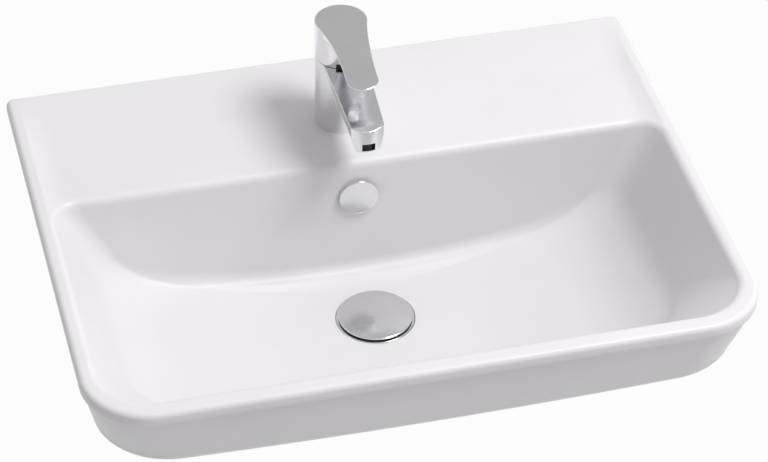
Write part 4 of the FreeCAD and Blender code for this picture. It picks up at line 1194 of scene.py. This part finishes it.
def dress_nodes(materials, special):
    """Gives every CAD node that stays its procedural material by slot, or its own one."""
    slots = {entry["node"]: entry["material_slot"] for entry in frame["record"]["subparts"]}
    for name, node in frame["nodes"].items():
        material = special.get(name) or materials[slots[name]]
        node.data.materials.clear()
        node.data.materials.append(material)


def dress():
    glaze = vitreous_glaze()
    chrome = chrome_plate()
    brass = turned_brass()
    rubber = black_rubber()
    materials = {
        "glazed_white": glaze,
        "chrome": chrome,
        "brass": brass,
        "steel": zinc_steel(),
        "rubber": rubber,
        "white_plastic": white_acetal(),
        # The black plastic slot also dresses the chrome dome cover under the lever, where its black is
        # painted shade in the gap under the lever.
        "black_plastic": black_acetal_and_painted_shade(),
        "oxide_ceramic": lapped_alumina(),
        "index": grey_cap_plastic(),
    }
    dress_nodes(materials, {"fixing_stud": threaded_steel()})
    piece("ceramic_basin", basin_mesh(), glaze, "basin", ["basin_body"])
    piece("overflow_rosette", cover_mesh(), chrome, "basin", ["overflow_cover"])
    piece("waste_tube", waste_mesh(), chrome, "basin", ["waste_body"])
    piece("plug_dome", plug_mesh(), chrome, "plug", ["plug_plate"])
    piece("plug_lip_seal", seal_mesh(), rubber, "plug", ["plug_seal"])
    waste_nut = hex_nut_mesh("waste_back_nut", waste_nut_bore, drain_y)
    piece("waste_nut", waste_nut, brass, "basin", ["waste_back_nut"])
    piece("tap_casting", tap_mesh(), chrome, "basin", ["tap_body"])
    piece("lever_casting", lever_mesh(), chrome, "lever", ["lever_handle"])


# Studio

key_target = Vector((0, -230 * mm, 0))
key_direction = Vector((0.42, -0.24, 0.87))
key_distance = 3.0
key_size = 1.2
key_power = 60.0
sky_strength = 0.66
sky_left = 0.59
sky_right = 1.41
sky_front = 0.85
sky_back = 1.15
mirror_sky = 0.50
horizon = 0.12
horizon_end = 0.45
floor_shade = 0.08
floor_level = -0.85
floor_half = 8
floor_cloud = 0.5
camera_azimuth = math.radians(14.354)
camera_elevation = math.radians(39.158)
camera_roll = math.radians(0.6465)
camera_place = Vector((-549.4 * mm, -2410.7 * mm, 1857.2 * mm))


def seen_by_mirrors(tree, path):
    """Whether a ray comes from a mirror or goes through glass."""
    either = add_node(tree, "ShaderNodeMath", {"operation": "MAXIMUM"})
    tree.links.new(path.outputs["Is Glossy Ray"], either.inputs[0])
    tree.links.new(path.outputs["Is Transmission Ray"], either.inputs[1])
    return either.outputs[0]


def overlaid(tree, share, under, over):
    mix = add_node(tree, "ShaderNodeMixShader")
    tree.links.new(share, mix.inputs[0])
    tree.links.new(under, mix.inputs[1])
    tree.links.new(over, mix.inputs[2])
    return mix.outputs[0]


def sky():
    """Soft sky, brighter on the right and behind. The camera sees white, and so do mirrors low down,
    where the white backdrop stands; above it they see a soft grey."""
    world = bpy.data.worlds.new("studio_sky")
    bpy.context.scene.world = world
    world.use_nodes = True
    tree = world.node_tree
    place = add_node(tree, "ShaderNodeTexCoord").outputs["Generated"]
    parts = add_node(tree, "ShaderNodeSeparateXYZ", {}, {"Vector": place})
    product = add_node(tree, "ShaderNodeMath", {"operation": "MULTIPLY"})
    scale = sky_strength
    for index, (axis, low, high) in enumerate((("X", sky_left, sky_right), ("Y", sky_front, sky_back))):
        values = {"From Min": -1.0, "From Max": 1.0, "To Min": low * scale, "To Max": high * scale}
        share = add_node(tree, "ShaderNodeMapRange", values, {"Value": parts.outputs[axis]}).outputs[0]
        tree.links.new(share, product.inputs[index])
        scale = 1.0
    background = tree.nodes["Background"]
    background.inputs["Color"].default_value = hex_colour("FEFDFE")
    tree.links.new(product.outputs[0], background.inputs["Strength"])
    values = {"From Min": horizon, "From Max": horizon_end, "To Min": 1.0, "To Max": mirror_sky}
    fading = add_node(tree, "ShaderNodeMapRange", values, {"Value": parts.outputs["Z"]}).outputs[0]
    backdrop = add_node(tree, "ShaderNodeBackground", {"Color": (1, 1, 1, 1)}, {"Strength": fading})
    white = add_node(tree, "ShaderNodeBackground", {"Color": (1, 1, 1, 1), "Strength": 1.0})
    path = add_node(tree, "ShaderNodeLightPath")
    lit = overlaid(tree, seen_by_mirrors(tree, path), background.outputs[0], backdrop.outputs[0])
    whole = overlaid(tree, path.outputs["Is Camera Ray"], lit, white.outputs[0])
    tree.links.new(whole, tree.nodes["World Output"].inputs["Surface"])


def studio_floor():
    """A pale floor far below the basin, white where it is seen, with a little of its own shade."""
    mesh = bmesh.new()
    place = Matrix.Translation((0, 0, floor_level))
    bmesh.ops.create_grid(mesh, x_segments=1, y_segments=1, size=floor_half, matrix=place)
    data = bpy.data.meshes.new("studio_floor")
    mesh.to_mesh(data)
    mesh.free()
    floor = bpy.data.objects.new("studio_floor", data)
    bpy.context.scene.collection.objects.link(floor)
    made = Finish("studio_floor_paint", Roughness=0.9)
    made.colour("DCDCDE", "E0E0E2", floor_cloud)
    data.materials.append(made.material)
    tree = made.tree
    path = add_node(tree, "ShaderNodeLightPath")
    both = add_node(tree, "ShaderNodeMath", {"operation": "MAXIMUM"})
    tree.links.new(path.outputs["Is Camera Ray"], both.inputs[0])
    tree.links.new(seen_by_mirrors(tree, path), both.inputs[1])
    seen = add_node(tree, "ShaderNodeMath", {"operation": "MULTIPLY"})
    tree.links.new(both.outputs[0], seen.inputs[0])
    seen.inputs[1].default_value = 1 - floor_shade
    glow = add_node(tree, "ShaderNodeEmission", {"Color": (1, 1, 1, 1), "Strength": 1.0})
    whole = overlaid(tree, seen.outputs[0], made.shader.outputs[0], glow.outputs[0])
    tree.links.new(whole, tree.nodes["Material Output"].inputs["Surface"])


def key_lamp():
    """One large lamp on the right, which throws the tap's soft shadow to the left."""
    data = bpy.data.lights.new("key_lamp", "AREA")
    data.shape = "DISK"
    data.size = key_size
    data.energy = key_power
    lamp = bpy.data.objects.new("key_lamp", data)
    bpy.context.scene.collection.objects.link(lamp)
    lamp.location = key_target + key_direction.normalized() * key_distance
    lamp.rotation_euler = (key_target - lamp.location).to_track_quat("-Z", "Y").to_euler()


def camera():
    """The photograph's view: from the front, a little left, and well above."""
    data = bpy.data.cameras.new("photo_camera")
    data.lens = 150.0
    data.sensor_width = 36.0
    data.clip_end = 50.0
    made = bpy.data.objects.new("photo_camera", data)
    bpy.context.scene.collection.objects.link(made)
    turn = Matrix.Rotation(-camera_azimuth, 4, "Z") @ Matrix.Rotation(math.pi / 2 - camera_elevation, 4, "X")
    turn = turn @ Matrix.Rotation(camera_roll, 4, "Z")
    made.matrix_world = Matrix.Translation(camera_place) @ turn
    bpy.context.scene.camera = made


dress()
sky()
studio_floor()
key_lamp()
camera()
bpy.context.scene.view_settings.view_transform = "Standard"
bpy.context.view_layer.update()
